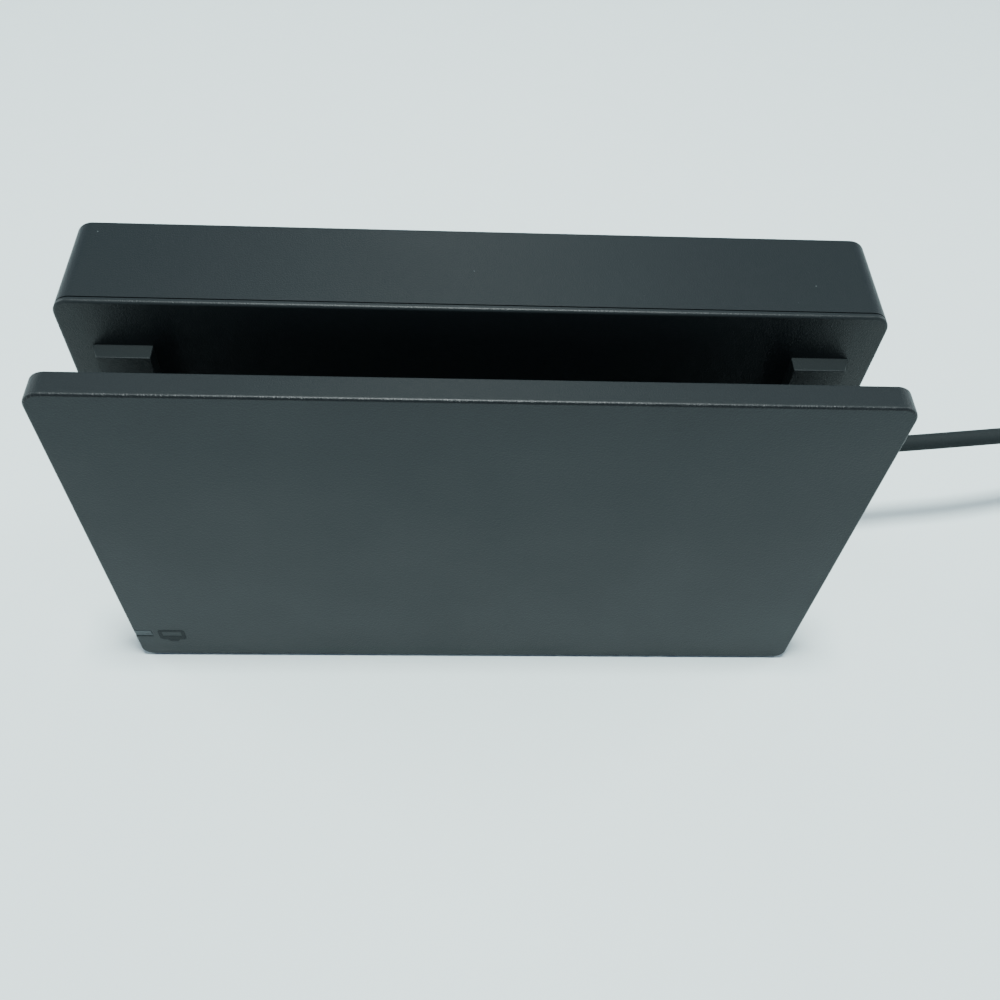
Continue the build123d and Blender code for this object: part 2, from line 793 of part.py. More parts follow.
with BuildPart() as console_plug:
    with BuildSketch(Plane.XY.offset(carrier_under_z)):
        with Locations((0, console_y)):
            SlotOverall(plug_shell_width, plug_shell_height)
    extrude(amount=carrier_block + plug_reach)
    with BuildSketch(Plane.XY.offset(carrier_top_z + plug_reach)):
        with Locations((0, console_y)):
            SlotOverall(plug_shell_width - 2 * plug_shell_wall, plug_shell_height - 2 * plug_shell_wall)
    extrude(amount=-plug_bore_depth, mode=Mode.SUBTRACT)
save(console_plug.part, "console_plug")

with BuildPart() as plug_board:
    with BuildSketch(Plane.XY.offset(plug_board_z)):
        with Locations((0, console_y)):
            Rectangle(plug_board_width, plug_board_depth)
    extrude(amount=plug_board_thickness)
save(plug_board.part, "plug_board")

with BuildPart() as plug_ribbon_socket:
    with BuildSketch(Plane.XY.offset(plug_board_z)):
        with Locations((0, console_y + (plug_board_depth - plug_socket_depth) / 2)):
            Rectangle(ribbon_width + 2 * socket_margin, plug_socket_depth)
    extrude(amount=-plug_socket_height)
save(plug_ribbon_socket.part, "plug_ribbon_socket")

# Leaf springs that centre the carrier
spring_base_z = base_top_z + spring_thickness / 2
spring_top_z = plug_board_z - spring_clearance
for place, side in (("left", -1), ("right", 1)):
    with BuildPart() as centring_spring:
        with BuildSketch(sideways(side * spring_x - spring_width / 2)):
            with BuildLine():
                FilletPolyline(
                    (console_y - spring_half_top, spring_top_z),
                    (console_y - spring_half_base, spring_base_z),
                    (console_y + spring_half_base, spring_base_z),
                    (console_y + spring_half_top, spring_top_z),
                    radius=spring_bend,
                )
            trace(line_width=spring_thickness)
        extrude(amount=spring_width)
    save(centring_spring.part, f"centring_spring_{place}")

# Ribbons from the base up to the main board, and the sockets that take them
plug_ribbon_start = console_y + plug_board_depth / 2 + ribbon_clearance
light_ribbon_start = light_board_y + light_board_thickness
socket_front_y = board_front_y - socket_depth
ribbon_turn_y = (panel_back_y + socket_front_y) / 2
for name, middle_x, strip_width, start_y in (
    ("console_ribbon", 0, ribbon_width, plug_ribbon_start),
    ("light_ribbon", light_ribbon_x, light_ribbon_width, light_ribbon_start),
):
    with BuildPart() as ribbon:
        with BuildSketch(sideways(middle_x - strip_width / 2)):
            with BuildLine():
                FilletPolyline(
                    (start_y, ribbon_z),
                    (ribbon_turn_y, ribbon_z),
                    (ribbon_turn_y, socket_z),
                    (socket_front_y, socket_z),
                    radius=ribbon_bend,
                )
            trace(line_width=ribbon_thickness)
        extrude(amount=strip_width)
    save(ribbon.part, name)
    with BuildPart() as ribbon_socket:
        with BuildSketch(upright(board_front_y)):
            with Locations((middle_x, socket_z)):
                Rectangle(strip_width + 2 * socket_margin, socket_height)
        extrude(amount=socket_depth)
    save(ribbon_socket.part, f"{name}_socket")

# Main board and side board, on the cradle's standoffs
board_outlines = {
    "main_board": (board_left, board_right, board_low_z, board_high_z, board_screw_points),
    "side_board": (
        side_board_left,
        side_board_right,
        side_board_low_z,
        side_board_low_z + side_board_height,
        side_screw_points,
    ),
}
for name, (low_x, high_x, low_z, high_z, screw_points) in board_outlines.items():
    with BuildPart() as board:
        with BuildSketch(upright(board_front_y)):
            with Locations(((low_x + high_x) / 2, (low_z + high_z) / 2)):
                RectangleRounded(high_x - low_x, high_z - low_z, board_radius)
            with Locations(*screw_points):
                Circle(screw_radius + screw_gap, mode=Mode.SUBTRACT)
        extrude(amount=-board_thickness)
    save(board.part, name)

side_ribbon_left = side_board_right - side_ribbon_lap
side_ribbon_right = board_left + side_ribbon_lap
with BuildPart() as side_ribbon:
    with BuildSketch(upright(board_front_y)):
        with Locations(((side_ribbon_left + side_ribbon_right) / 2, bottom_z + side_ribbon_rise)):
            Rectangle(side_ribbon_right - side_ribbon_left, side_ribbon_width)
    extrude(amount=ribbon_thickness)
save(side_ribbon.part, "side_ribbon")

# Shield over the main board's chips
shield_left = board_left + shield_from_left
shield_right = mouth_x - data_length - shield_from_ports
shield_low_z = board_low_z + shield_from_low
shield_high_z = board_high_z - shield_from_high
shield_width = shield_right - shield_left
shield_height = shield_high_z - shield_low_z
shield_x = (shield_left + shield_right) / 2
shield_z = (shield_low_z + shield_high_z) / 2
with BuildPart() as board_shield:
    with BuildSketch(upright(board_back_y)):
        with Locations((shield_x, shield_z)):
            RectangleRounded(shield_width, shield_height, shield_radius)
    extrude(amount=-shield_depth)
    with BuildSketch(upright(board_back_y)):
        with Locations((shield_x, shield_z)):
            RectangleRounded(
                shield_width - 2 * shield_sheet,
                shield_height - 2 * shield_sheet,
                shield_radius - shield_sheet,
            )
    extrude(amount=-(shield_depth - shield_sheet), mode=Mode.SUBTRACT)
save(board_shield.part, "board_shield")

for name, chip_x, size in (
    ("video_chip", shield_right - chip_margin - chip_size / 2, chip_size),
    ("hub_chip", shield_left + chip_margin + small_chip_size / 2, small_chip_size),
):
    with BuildPart() as chip:
        with BuildSketch(upright(board_back_y)):
            with Locations((chip_x, shield_z)):
                Rectangle(size, size)
        extrude(amount=-chip_height)
    save(chip.part, name)


def port_profile(kind, clear, growth):
    """The clear section of one kind of socket, grown by a sheet or shrunk by a fit."""
    port_width = clear[0] + 2 * growth
    port_height = clear[1] + 2 * growth
    with BuildSketch(mode=Mode.PRIVATE) as profile:
        if kind == "power":
            SlotOverall(port_width, port_height)
        else:
            Rectangle(port_width, port_height)
        if kind == "video":
            chamfer(profile.vertices().group_by(Axis.Y)[0], video_bevel)
    return profile.sketch


# Sockets: a folded metal shell round an insulator with a tongue, drawn at the mouth
def recess_mouth(port_y, port_z):
    return Plane(origin=(mouth_x, port_y, port_z), x_dir=(0, 0, 1), z_dir=(1, 0, 0))


def side_mouth(port_z):
    return Plane(origin=(side_mouth_x, data_y, port_z), x_dir=(0, 0, -1), z_dir=(-1, 0, 0))


sockets = {
    "video_port": ("video", recess_mouth(video_y, video_z), video_clear, video_length, video_tongue, 0),
    "data_port": (
        "data", recess_mouth(data_y, data_z), data_clear, data_length, data_tongue, data_tongue_shift,
    ),
    "power_port": ("power", recess_mouth(power_y, power_z), power_clear, power_length, power_tongue, 0),
    "side_data_port_lower": (
        "data", side_mouth(side_data_z[0]), data_clear, data_length, data_tongue, data_tongue_shift,
    ),
    "side_data_port_upper": (
        "data", side_mouth(side_data_z[1]), data_clear, data_length, data_tongue, data_tongue_shift,
    ),
}
for name, (kind, mouth, clear, length, tongue, tongue_shift) in sockets.items():
    with BuildPart() as port_shell:
        with BuildSketch(mouth):
            add(port_profile(kind, clear, socket_sheet))
            add(port_profile(kind, clear, 0), mode=Mode.SUBTRACT)
        extrude(amount=-length)
    save(port_shell.part, name)
    with BuildPart() as port_tongue:
        with BuildSketch(mouth.offset(-length)):
            add(port_profile(kind, clear, -socket_fit))
        extrude(amount=insulator_base)
        with BuildSketch(mouth.offset(-length)):
            with Locations((0, tongue_shift)):
                Rectangle(*tongue)
        extrude(amount=length - tongue_setback)
    save(port_tongue.part, f"{name}_tongue")

# Screws of the housing, the boards and the bottom cover, each kind a group of like solids
with BuildPart() as housing_screws:
    with Locations(*screw_planes):
        head_drop = screw_head_radius - screw_radius
        Cone(
            screw_radius, screw_head_radius, head_drop, align=(Align.CENTER, Align.CENTER, Align.MAX)
        )
        Cylinder(screw_radius, wall + screw_length, align=(Align.CENTER, Align.CENTER, Align.MAX))
save(housing_screws.part, "housing_screws")

with BuildPart() as base_screws:
    with Locations(*base_planes):
        Cone(
            screw_radius, screw_head_radius, head_drop, align=(Align.CENTER, Align.CENTER, Align.MAX)
        )
        Cylinder(screw_radius, wall + base_screw_length, align=(Align.CENTER, Align.CENTER, Align.MAX))
save(base_screws.part, "base_screws")

board_planes = [
    Plane(origin=(x, board_back_y, z), x_dir=(1, 0, 0), z_dir=(0, 1, 0)) for x, z in standoff_points
]
with BuildPart() as board_screws:
    with Locations(*board_planes):
        Cylinder(screw_head_radius, board_head_height, align=(Align.CENTER, Align.CENTER, Align.MIN))
        Cylinder(
            screw_radius,
            board_thickness + board_screw_length,
            align=(Align.CENTER, Align.CENTER, Align.MAX),
        )
save(board_screws.part, "board_screws")



def lead_plug(face, place):
    """A plug on the lead, drawn at its body's front face: metal tip, moulded body, strain relief."""
    with BuildPart() as tip:
        with BuildSketch(face):
            add(port_profile("video", video_clear, -cable_tip_fit))
        extrude(amount=-cable_tip_length)
        with BuildSketch(face.offset(-cable_tip_length)):
            add(port_profile("video", video_clear, -cable_tip_fit - cable_tip_sheet))
        extrude(amount=cable_tip_insert, mode=Mode.SUBTRACT)
    save(tip.part, f"{place}_plug_tip")

    with BuildPart() as body:
        with BuildSketch(face):
            RectangleRounded(cable_plug_width, cable_plug_height, cable_plug_radius)
        extrude(amount=cable_plug_length)
        chamfer(body.faces().sort_by(Axis.X)[0].edges(), cable_plug_edge)
        chamfer(body.faces().sort_by(Axis.X)[-1].edges(), cable_plug_radius - cable_plug_edge)
    save(body.part, f"{place}_plug_body")

    relief_taper = math.degrees(math.atan2(relief_radius - relief_end_radius, relief_length))
    with BuildPart() as relief:
        with BuildSketch(face.offset(cable_plug_length)):
            Circle(relief_radius)
        extrude(amount=relief_length, taper=relief_taper)
        for groove in range(relief_grooves):
            groove_start = (groove + 1) * relief_length / (relief_grooves + 1) - relief_groove_width / 2
            with BuildSketch(face.offset(cable_plug_length + groove_start)):
                Circle(relief_radius)
                Circle(relief_end_radius - relief_groove_depth, mode=Mode.SUBTRACT)
            extrude(amount=relief_groove_width, mode=Mode.SUBTRACT)
    save(relief.part, f"{place}_plug_relief")


# Video lead: the near plug in its socket, the far plug lying by the coil
cable_tip_length = cable_plug_standoff + socket_recess + cable_tip_insert
near_face_x = recess_left + cable_plug_standoff
near_end_x = near_face_x + cable_plug_length + relief_length
coil_outer = coil_radius + coil_columns * cable_diameter / 2
coil_height = coil_layers * cable_diameter
coil_column = coil_outer - cable_diameter / 2
tail_y = coil_y - coil_column
far_end_x = coil_x - tail_length
far_face_x = far_end_x - relief_length - cable_plug_length
far_z = cable_plug_height / 2
lead_plug(Plane(origin=(near_face_x, video_y, video_z), x_dir=(0, 0, 1), z_dir=(1, 0, 0)), "near")
lead_plug(Plane(origin=(far_face_x, tail_y, far_z), x_dir=(0, 1, 0), z_dir=(1, 0, 0)), "far")

# Coil: one ring of the turns' outer shape, with a strap round it
coil_axis = Axis((coil_x, coil_y, 0), (0, 0, 1))
coil_section = Plane(origin=(coil_x, coil_y, 0), x_dir=(1, 0, 0), z_dir=(0, -1, 0))
with BuildPart() as cable_coil:
    with BuildSketch(coil_section):
        with Locations((coil_radius, coil_base_z + coil_height / 2)):
            Rectangle(coil_columns * cable_diameter, coil_height)
    revolve(axis=coil_axis)
save(cable_coil.part, "cable_coil")

with BuildPart() as cable_tie:
    with BuildSketch(coil_section):
        with Locations((coil_radius, coil_base_z + coil_height / 2)):
            Rectangle(coil_columns * cable_diameter + 2 * tie_thickness, coil_height + 2 * tie_thickness)
            Rectangle(
                coil_columns * cable_diameter + 2 * tie_gap,
                coil_height + 2 * tie_gap,
                mode=Mode.SUBTRACT,
            )
    revolve(axis=coil_axis, revolution_arc=tie_angle)
save(cable_tie.part, "cable_tie")

# Lead from the near plug into the coil's outer turn, through points chosen along its fall
lead_route = [
    (near_end_x, video_y, video_z),
    (93.0, video_y, video_z),
    (118.0, 18.2, 38.1),
    (145.0, 21.9, 37.8),
    (171.0, 27.5, 34.5),
    (196.0, 34.5, 23.5),
    (217.0, 40.0, 10.0),
    (233.0, 43.0, 3.3),
    (coil_x, coil_y + coil_column, coil_base_z + cable_diameter / 2),
]
lead_radii = []
for before, corner, after in zip(lead_route, lead_route[1:], lead_route[2:]):
    run_in = Vector(*corner) - Vector(*before)
    run_out = Vector(*after) - Vector(*corner)
    half_turn = math.radians(run_in.get_angle(run_out)) / 2
    lead_radii.append(0.45 * min(run_in.length, run_out.length) / math.tan(half_turn))
print("lead radii", [round(radius, 1) for radius in lead_radii])

with BuildPart() as cable_lead:
    with BuildLine() as lead_path:
        FilletPolyline(*lead_route, radius=lead_radii)
    lead_line = lead_path.wires()[0]
    with BuildSketch(Plane(origin=lead_line @ 0, z_dir=lead_line % 0)):
        Circle(cable_diameter / 2)
    sweep(path=lead_line)
    lead_volume = lead_line.length * math.pi * cable_diameter**2 / 4
    print("lead length", round(lead_line.length, 1), "volume ratio", cable_lead.part.volume / lead_volume)
save(cable_lead.part, "cable_lead")

with BuildPart() as cable_tail:
    with BuildSketch(Plane(origin=(far_end_x, tail_y, far_z), z_dir=(1, 0, 0))):
        Circle(cable_diameter / 2)
    extrude(amount=tail_length)
save(cable_tail.part, "cable_tail")
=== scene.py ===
# %% [markdown]
# # A dock for a handheld console
#
# The dock is a dark plastic stand: a broad front panel, a deep slot that the console slides into, and a thick
# box behind it that holds the boards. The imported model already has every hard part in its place, in metres.
# This script dresses it: a camera, the free cable, finishes made from nodes, small details and light.

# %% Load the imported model
import math

import bmesh
import bpy
from mathutils import Matrix, Vector


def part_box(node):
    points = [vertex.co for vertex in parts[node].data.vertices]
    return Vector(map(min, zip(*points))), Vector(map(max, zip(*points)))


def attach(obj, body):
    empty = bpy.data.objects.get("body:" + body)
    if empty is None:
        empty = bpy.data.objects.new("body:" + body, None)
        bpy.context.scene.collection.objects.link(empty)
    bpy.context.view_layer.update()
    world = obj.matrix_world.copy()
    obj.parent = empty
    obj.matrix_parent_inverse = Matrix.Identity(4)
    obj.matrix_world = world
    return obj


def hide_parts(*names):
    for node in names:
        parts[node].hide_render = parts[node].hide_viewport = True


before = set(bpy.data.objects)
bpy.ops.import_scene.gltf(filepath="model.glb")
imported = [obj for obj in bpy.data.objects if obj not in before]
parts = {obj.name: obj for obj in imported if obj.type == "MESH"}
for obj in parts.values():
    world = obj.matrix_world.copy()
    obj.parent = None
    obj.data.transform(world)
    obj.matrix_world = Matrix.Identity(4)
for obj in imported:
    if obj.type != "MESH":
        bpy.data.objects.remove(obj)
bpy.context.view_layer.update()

# %% [markdown]
# ## Camera
#
# The picture was taken from above, close by, with the dock turned a little. A camera could be framed by eye,
# but here its place and angles come from lining up the dock's long edges, so the lens is a number of pixels.

# %% Camera
picture_width = 1000
focal_length = 1036.2
camera_lens = bpy.data.cameras.new("camera")
camera_lens.sensor_width = 36.0
camera_lens.lens = camera_lens.sensor_width * focal_length / picture_width
camera_lens.clip_start = 0.01
camera = bpy.data.objects.new("camera", camera_lens)
camera.location = (-0.00517, -0.15766, 0.25243)
camera.rotation_euler = [math.radians(angle) for angle in (35.967, -2.614, -1.021)]
bpy.context.collection.objects.link(camera)
bpy.context.scene.camera = camera
print("camera lens:", round(camera_lens.lens, 1), "mm")

# %% [markdown]
# ## Helpers for finishes
#
# Every finish is a material of nodes that reads Object coordinates, which are metres here, so a grain of half
# a millimetre stays half a millimetre. Four small helpers keep the node code short: one adds a node and sets
# its values, one starts a material with its shader and its coordinates, and two start a node group and put it
# into a material.


# %% Helpers for finishes
def add_node(tree, kind, values=None, **settings):
    """Adds a node, with settings for its properties and values for its sockets."""
    node = tree.nodes.new(kind)
    for name, setting in settings.items():
        setattr(node, name, setting)
    for name, value in (values or {}).items():
        node.inputs[name].default_value = value
    return node


def start_finish(name, **values):
    """A material with a Principled shader and Object coordinates."""
    material = bpy.data.materials.new(name)
    material.use_nodes = True
    tree = material.node_tree
    shader = tree.nodes["Principled BSDF"]
    for socket, value in values.items():
        shader.inputs[socket.replace("_", " ")].default_value = value
    place = add_node(tree, "ShaderNodeTexCoord")
    return material, tree, shader, place.outputs["Object"]


def start_group(name, inputs, outputs):
    """A shader node group with named sockets. Inputs give a name, a type and a first value."""
    tree = bpy.data.node_groups.new(name, "ShaderNodeTree")
    for socket, kind, value in inputs:
        made = tree.interface.new_socket(socket, in_out="INPUT", socket_type="NodeSocket" + kind)
        if value is not None:
            made.default_value = value
    for socket, kind in outputs:
        tree.interface.new_socket(socket, in_out="OUTPUT", socket_type="NodeSocket" + kind)
    return tree, tree.nodes.new("NodeGroupInput"), tree.nodes.new("NodeGroupOutput")


def place_group(tree, group, values):
    """Puts a node group into a material, with its own values."""
    node = tree.nodes.new("ShaderNodeGroup")
    node.node_tree = group
    for socket, value in values.items():
        node.inputs[socket].default_value = value
    return node


# %% [markdown]
# ## Grain
#
# The tool that moulds the shell is eroded by sparks, which leaves fine round grains on the plastic. A picture
# of that texture could be wrapped round the shell. Two noises of different size in one node group are
# simpler, have no seams, and every plastic in the dock can use them at its own scale.

# %% Grain
grain, grain_in, grain_out = start_group(
    "moulded grain",
    [("Place", "Vector", None), ("Grain Size", "Float", 0.0005), ("Depth", "Float", 1.0)],
    [("Height", "Float"), ("Speck", "Float")],
)
per_metre = add_node(grain, "ShaderNodeMath", {0: 1.0}, operation="DIVIDE")
coarse = add_node(grain, "ShaderNodeTexNoise", {"Detail": 0.0})
finer = add_node(grain, "ShaderNodeMath", {1: 2.3}, operation="MULTIPLY")
pits = add_node(grain, "ShaderNodeTexNoise", {"Detail": 0.0})
both = add_node(grain, "ShaderNodeMath", {1: 0.5}, operation="MULTIPLY_ADD")
deep = add_node(grain, "ShaderNodeMath", operation="MULTIPLY")
grain.links.new(grain_in.outputs["Grain Size"], per_metre.inputs[1])
grain.links.new(grain_in.outputs["Place"], coarse.inputs["Vector"])
grain.links.new(per_metre.outputs[0], coarse.inputs["Scale"])
grain.links.new(per_metre.outputs[0], finer.inputs[0])
grain.links.new(grain_in.outputs["Place"], pits.inputs["Vector"])
grain.links.new(finer.outputs[0], pits.inputs["Scale"])
grain.links.new(pits.outputs["Fac"], both.inputs[0])
grain.links.new(coarse.outputs["Fac"], both.inputs[2])
grain.links.new(both.outputs[0], deep.inputs[0])
grain.links.new(grain_in.outputs["Depth"], deep.inputs[1])
grain.links.new(deep.outputs[0], grain_out.inputs["Height"])
grain.links.new(pits.outputs["Fac"], grain_out.inputs["Speck"])
print("grain nodes:", len(grain.nodes))

# %% [markdown]
# ## Dust and handling marks
#
# A dock that has stood on a shelf has a few pale specks on its upper faces, and faint patches where hands
# have polished it. Both are masks, so they sit in one group: cells of a Voronoi pattern, most of them
# switched off by their random colour, give the specks, and a slow noise gives the patches.

# %% Dust and handling marks
marks, marks_in, marks_out = start_group(
    "dust and marks",
    [("Place", "Vector", None), ("Facing", "Vector", None), ("Speck Spacing", "Float", 0.006)],
    [("Dust", "Float"), ("Patch", "Float")],
)
speck_scale = add_node(marks, "ShaderNodeMath", {0: 1.0}, operation="DIVIDE")
speck_cells = add_node(marks, "ShaderNodeTexVoronoi", {"Randomness": 1.0})
speck_dot = add_node(marks, "ShaderNodeMapRange", {"From Min": 0.035, "From Max": 0.02})
speck_pick = add_node(marks, "ShaderNodeSeparateColor")
speck_few = add_node(marks, "ShaderNodeMapRange", {"From Min": 0.6, "From Max": 0.75})
upward = add_node(marks, "ShaderNodeSeparateXYZ")
only_up = add_node(marks, "ShaderNodeMapRange", {"From Min": 0.3, "From Max": 0.9})
speck_here = add_node(marks, "ShaderNodeMath", operation="MULTIPLY")
speck_mask = add_node(marks, "ShaderNodeMath", operation="MULTIPLY")
patch_noise = add_node(marks, "ShaderNodeTexNoise", {"Scale": 38.0, "Detail": 2.0})
patch_soft = add_node(marks, "ShaderNodeMapRange", {"From Min": 0.35, "From Max": 0.7})
for start, end in (
    (marks_in.outputs["Speck Spacing"], speck_scale.inputs[1]),
    (marks_in.outputs["Place"], speck_cells.inputs["Vector"]),
    (speck_scale.outputs[0], speck_cells.inputs["Scale"]),
    (speck_cells.outputs["Distance"], speck_dot.inputs["Value"]),
    (speck_cells.outputs["Color"], speck_pick.inputs["Color"]),
    (speck_pick.outputs["Red"], speck_few.inputs["Value"]),
    (marks_in.outputs["Facing"], upward.inputs["Vector"]),
    (upward.outputs["Z"], only_up.inputs["Value"]),
    (speck_dot.outputs["Result"], speck_here.inputs[0]),
    (speck_few.outputs["Result"], speck_here.inputs[1]),
    (speck_here.outputs[0], speck_mask.inputs[0]),
    (only_up.outputs["Result"], speck_mask.inputs[1]),
    (speck_mask.outputs[0], marks_out.inputs["Dust"]),
    (marks_in.outputs["Place"], patch_noise.inputs["Vector"]),
    (patch_noise.outputs["Fac"], patch_soft.inputs["Value"]),
    (patch_soft.outputs["Result"], marks_out.inputs["Patch"]),
):
    marks.links.new(start, end)
print("marks nodes:", len(marks.nodes))

# %% [markdown]
# ## Helpers for patterns
#
# A finish goes from one tone, gloss or height to another as a mask goes from 0 to 1. These helpers write each
# such change in one line: they mix two colours or two values, spread a mask over a range, and turn a height
# into relief.


# %% Helpers for patterns
def mix_colours(tree, mask, first, second):
    """A colour that goes from first to second as the mask goes from 0 to 1."""
    mix = add_node(tree, "ShaderNodeMix", data_type="RGBA")
    for socket, colour in ((6, first), (7, second)):
        if isinstance(colour, bpy.types.NodeSocket):
            tree.links.new(colour, mix.inputs[socket])
        else:
            mix.inputs[socket].default_value = (*colour, 1.0)
    tree.links.new(mask, mix.inputs[0])
    return mix.outputs[2]


def mix_values(tree, mask, first, second):
    """A value that goes from first to second as the mask goes from 0 to 1."""
    mix = add_node(tree, "ShaderNodeMix", data_type="FLOAT")
    for socket, source in ((0, mask), (2, first), (3, second)):
        tree.links.new(source, mix.inputs[socket])
    return mix.outputs[0]


def spread_values(tree, source, low, high):
    """Turns a mask from 0 to 1 into a value from low to high."""
    spread = add_node(tree, "ShaderNodeMapRange", {"To Min": low, "To Max": high})
    tree.links.new(source, spread.inputs["Value"])
    return spread.outputs["Result"]


def add_relief(tree, shader, height, depth):
    """Feeds a height into the shader's normal. Depth is in metres."""
    bump = add_node(tree, "ShaderNodeBump", {"Strength": 1.0, "Distance": depth})
    tree.links.new(height, bump.inputs["Height"])
    tree.links.new(bump.outputs["Normal"], shader.inputs["Normal"])


# %% [markdown]
# ## Zones of the shell
#
# The front panel's face has a coarse grain, and the tops, sides and slot are almost smooth. All are the same
# plastic, so they are one material with masks: the place of a point says whether it is on the front panel,
# and its normal says whether it is on the face or on the rim. The upper rim is painted darker, a painted
# shade, and the face's lighter tone is partly its grain and partly painted light.

# %% Zones of the shell
shell, tree, shader, place = start_finish(
    "shell plastic", Specular_IOR_Level=0.22, Coat_Roughness=0.42
)
facing = tree.nodes["Texture Coordinate"].outputs["Normal"]
side = add_node(tree, "ShaderNodeSeparateXYZ")
depth = add_node(tree, "ShaderNodeSeparateXYZ")
panel_begins, panel_full = -0.0245, -0.0255
panel = add_node(tree, "ShaderNodeMapRange", {"From Min": panel_begins, "From Max": panel_full})
tree.links.new(facing, side.inputs[0])
tree.links.new(place, depth.inputs[0])
tree.links.new(depth.outputs["Y"], panel.inputs["Value"])


def panel_mask(first, last):
    """A mask on the front panel, for normals that turn to the front between two limits."""
    turn = add_node(tree, "ShaderNodeMapRange", {"From Min": first, "From Max": last})
    mask = add_node(tree, "ShaderNodeMath", operation="MULTIPLY")
    tree.links.new(side.outputs["Y"], turn.inputs["Value"])
    tree.links.new(turn.outputs["Result"], mask.inputs[0])
    tree.links.new(panel.outputs["Result"], mask.inputs[1])
    return mask.outputs[0]


grained = panel_mask(-0.15, -0.4)
rim = panel_mask(-0.5, -0.75)
face = panel_mask(-0.95, -0.995)
# Painted shade: this mask puts a dark band of colour on the upper rim, standing in for the dark it reflects.
raised = add_node(tree, "ShaderNodeMapRange", {"From Min": -0.3, "From Max": 0.0})
rim_shade_mask = add_node(tree, "ShaderNodeMath", operation="MULTIPLY")
tree.links.new(side.outputs["Z"], raised.inputs["Value"])
tree.links.new(raised.outputs["Result"], rim_shade_mask.inputs[0])
tree.links.new(rim, rim_shade_mask.inputs[1])
bright_line = add_node(tree, "ShaderNodeMath", operation="SUBTRACT")
tree.links.new(grained, bright_line.inputs[0])
tree.links.new(rim, bright_line.inputs[1])
print("zone nodes:", len(tree.nodes))

# %% [markdown]
# ## Shell plastic
#
# The shell is dark grey with a cool tint. Each zone has its own grain and tone, with faint patches and dust
# over all of it. The face's lighter tone is partly its coarser grain and partly painted light, and the upper
# rim's dark tone is a painted shade. Where the rim begins, hands have polished a narrow line that shines: a
# thin clear coat on that line alone gives it.

# %% Shell plastic
# The face is painted lighter than the tops and slot of the same plastic: partly its coarser grain, partly
# painted light.
top_tones = (0.0109, 0.0139, 0.0147), (0.0116, 0.0148, 0.0156)
face_tones = (0.0148, 0.0178, 0.0191), (0.0246, 0.0294, 0.0318)
# Painted shade: the colour of the dark band on the upper rim.
painted_rim_shade = (0.0060, 0.0078, 0.0088)
dust_tone = (0.15, 0.17, 0.17)
top_gloss, face_gloss = (0.44, 0.4), (0.63, 0.59)
line_coat = 0.3
shell_relief = 0.00009

face_grain = place_group(tree, grain, {"Grain Size": 0.00042, "Depth": 0.6})
rim_grain = place_group(tree, grain, {"Grain Size": 0.0004, "Depth": 1.2})
fine_grain = place_group(tree, grain, {"Grain Size": 0.0003, "Depth": 0.4})
shell_marks = place_group(tree, marks, {"Speck Spacing": 0.004})
for user in (face_grain, rim_grain, fine_grain, shell_marks):
    tree.links.new(place, user.inputs["Place"])
tree.links.new(facing, shell_marks.inputs["Facing"])
patch = shell_marks.outputs["Patch"]

relief = mix_values(tree, grained, fine_grain.outputs["Height"], rim_grain.outputs["Height"])
relief = mix_values(tree, face, relief, face_grain.outputs["Height"])
add_relief(tree, shader, relief, shell_relief)

plain = mix_colours(tree, patch, *top_tones)
# The upper rim is painted dark here, a painted shade.
rim_shaded_colour = mix_colours(tree, rim_shade_mask.outputs[0], plain, painted_rim_shade)
# The face's lighter tone: partly its grain, partly painted light.
face_tone_grain_and_light = mix_colours(tree, face_grain.outputs["Speck"], *face_tones)
zone_colour_with_painted_light = mix_colours(tree, face, rim_shaded_colour, face_tone_grain_and_light)
dust_and_painted_light = mix_colours(tree, shell_marks.outputs["Dust"], zone_colour_with_painted_light, dust_tone)
tree.links.new(dust_and_painted_light, shader.inputs["Base Color"])

smooth_gloss = spread_values(tree, patch, *top_gloss)
grainy_gloss = spread_values(tree, patch, *face_gloss)
tree.links.new(mix_values(tree, face, smooth_gloss, grainy_gloss), shader.inputs["Roughness"])
polish = add_node(tree, "ShaderNodeMath", {1: line_coat}, operation="MULTIPLY")
tree.links.new(bright_line.outputs[0], polish.inputs[0])
tree.links.new(polish.outputs[0], shader.inputs["Coat Weight"])
print("shell plastic nodes:", len(tree.nodes))

# %% [markdown]
# ## Plain moulded and rubber finishes
#
# The plug carrier, the sockets' tongues, the chips, the cable's jacket, the feet and a printed symbol are all
# dark and matt, and differ in grain, depth and gloss. A function makes each from a row of values, so that
# they stay a family.


# %% Plain moulded and rubber finishes
def moulded(name, dark, light, grain_size, depth, smooth, rough, shine):
    """A dark moulded finish whose tone and gloss follow its grain."""
    material, tree, shader, place = start_finish(name, Specular_IOR_Level=shine)
    texture = place_group(tree, grain, {"Grain Size": grain_size})
    tree.links.new(place, texture.inputs["Place"])
    tree.links.new(mix_colours(tree, texture.outputs["Speck"], dark, light), shader.inputs["Base Color"])
    gloss = spread_values(tree, texture.outputs["Height"], smooth, rough)
    tree.links.new(gloss, shader.inputs["Roughness"])
    add_relief(tree, shader, texture.outputs["Height"], depth)
    return material


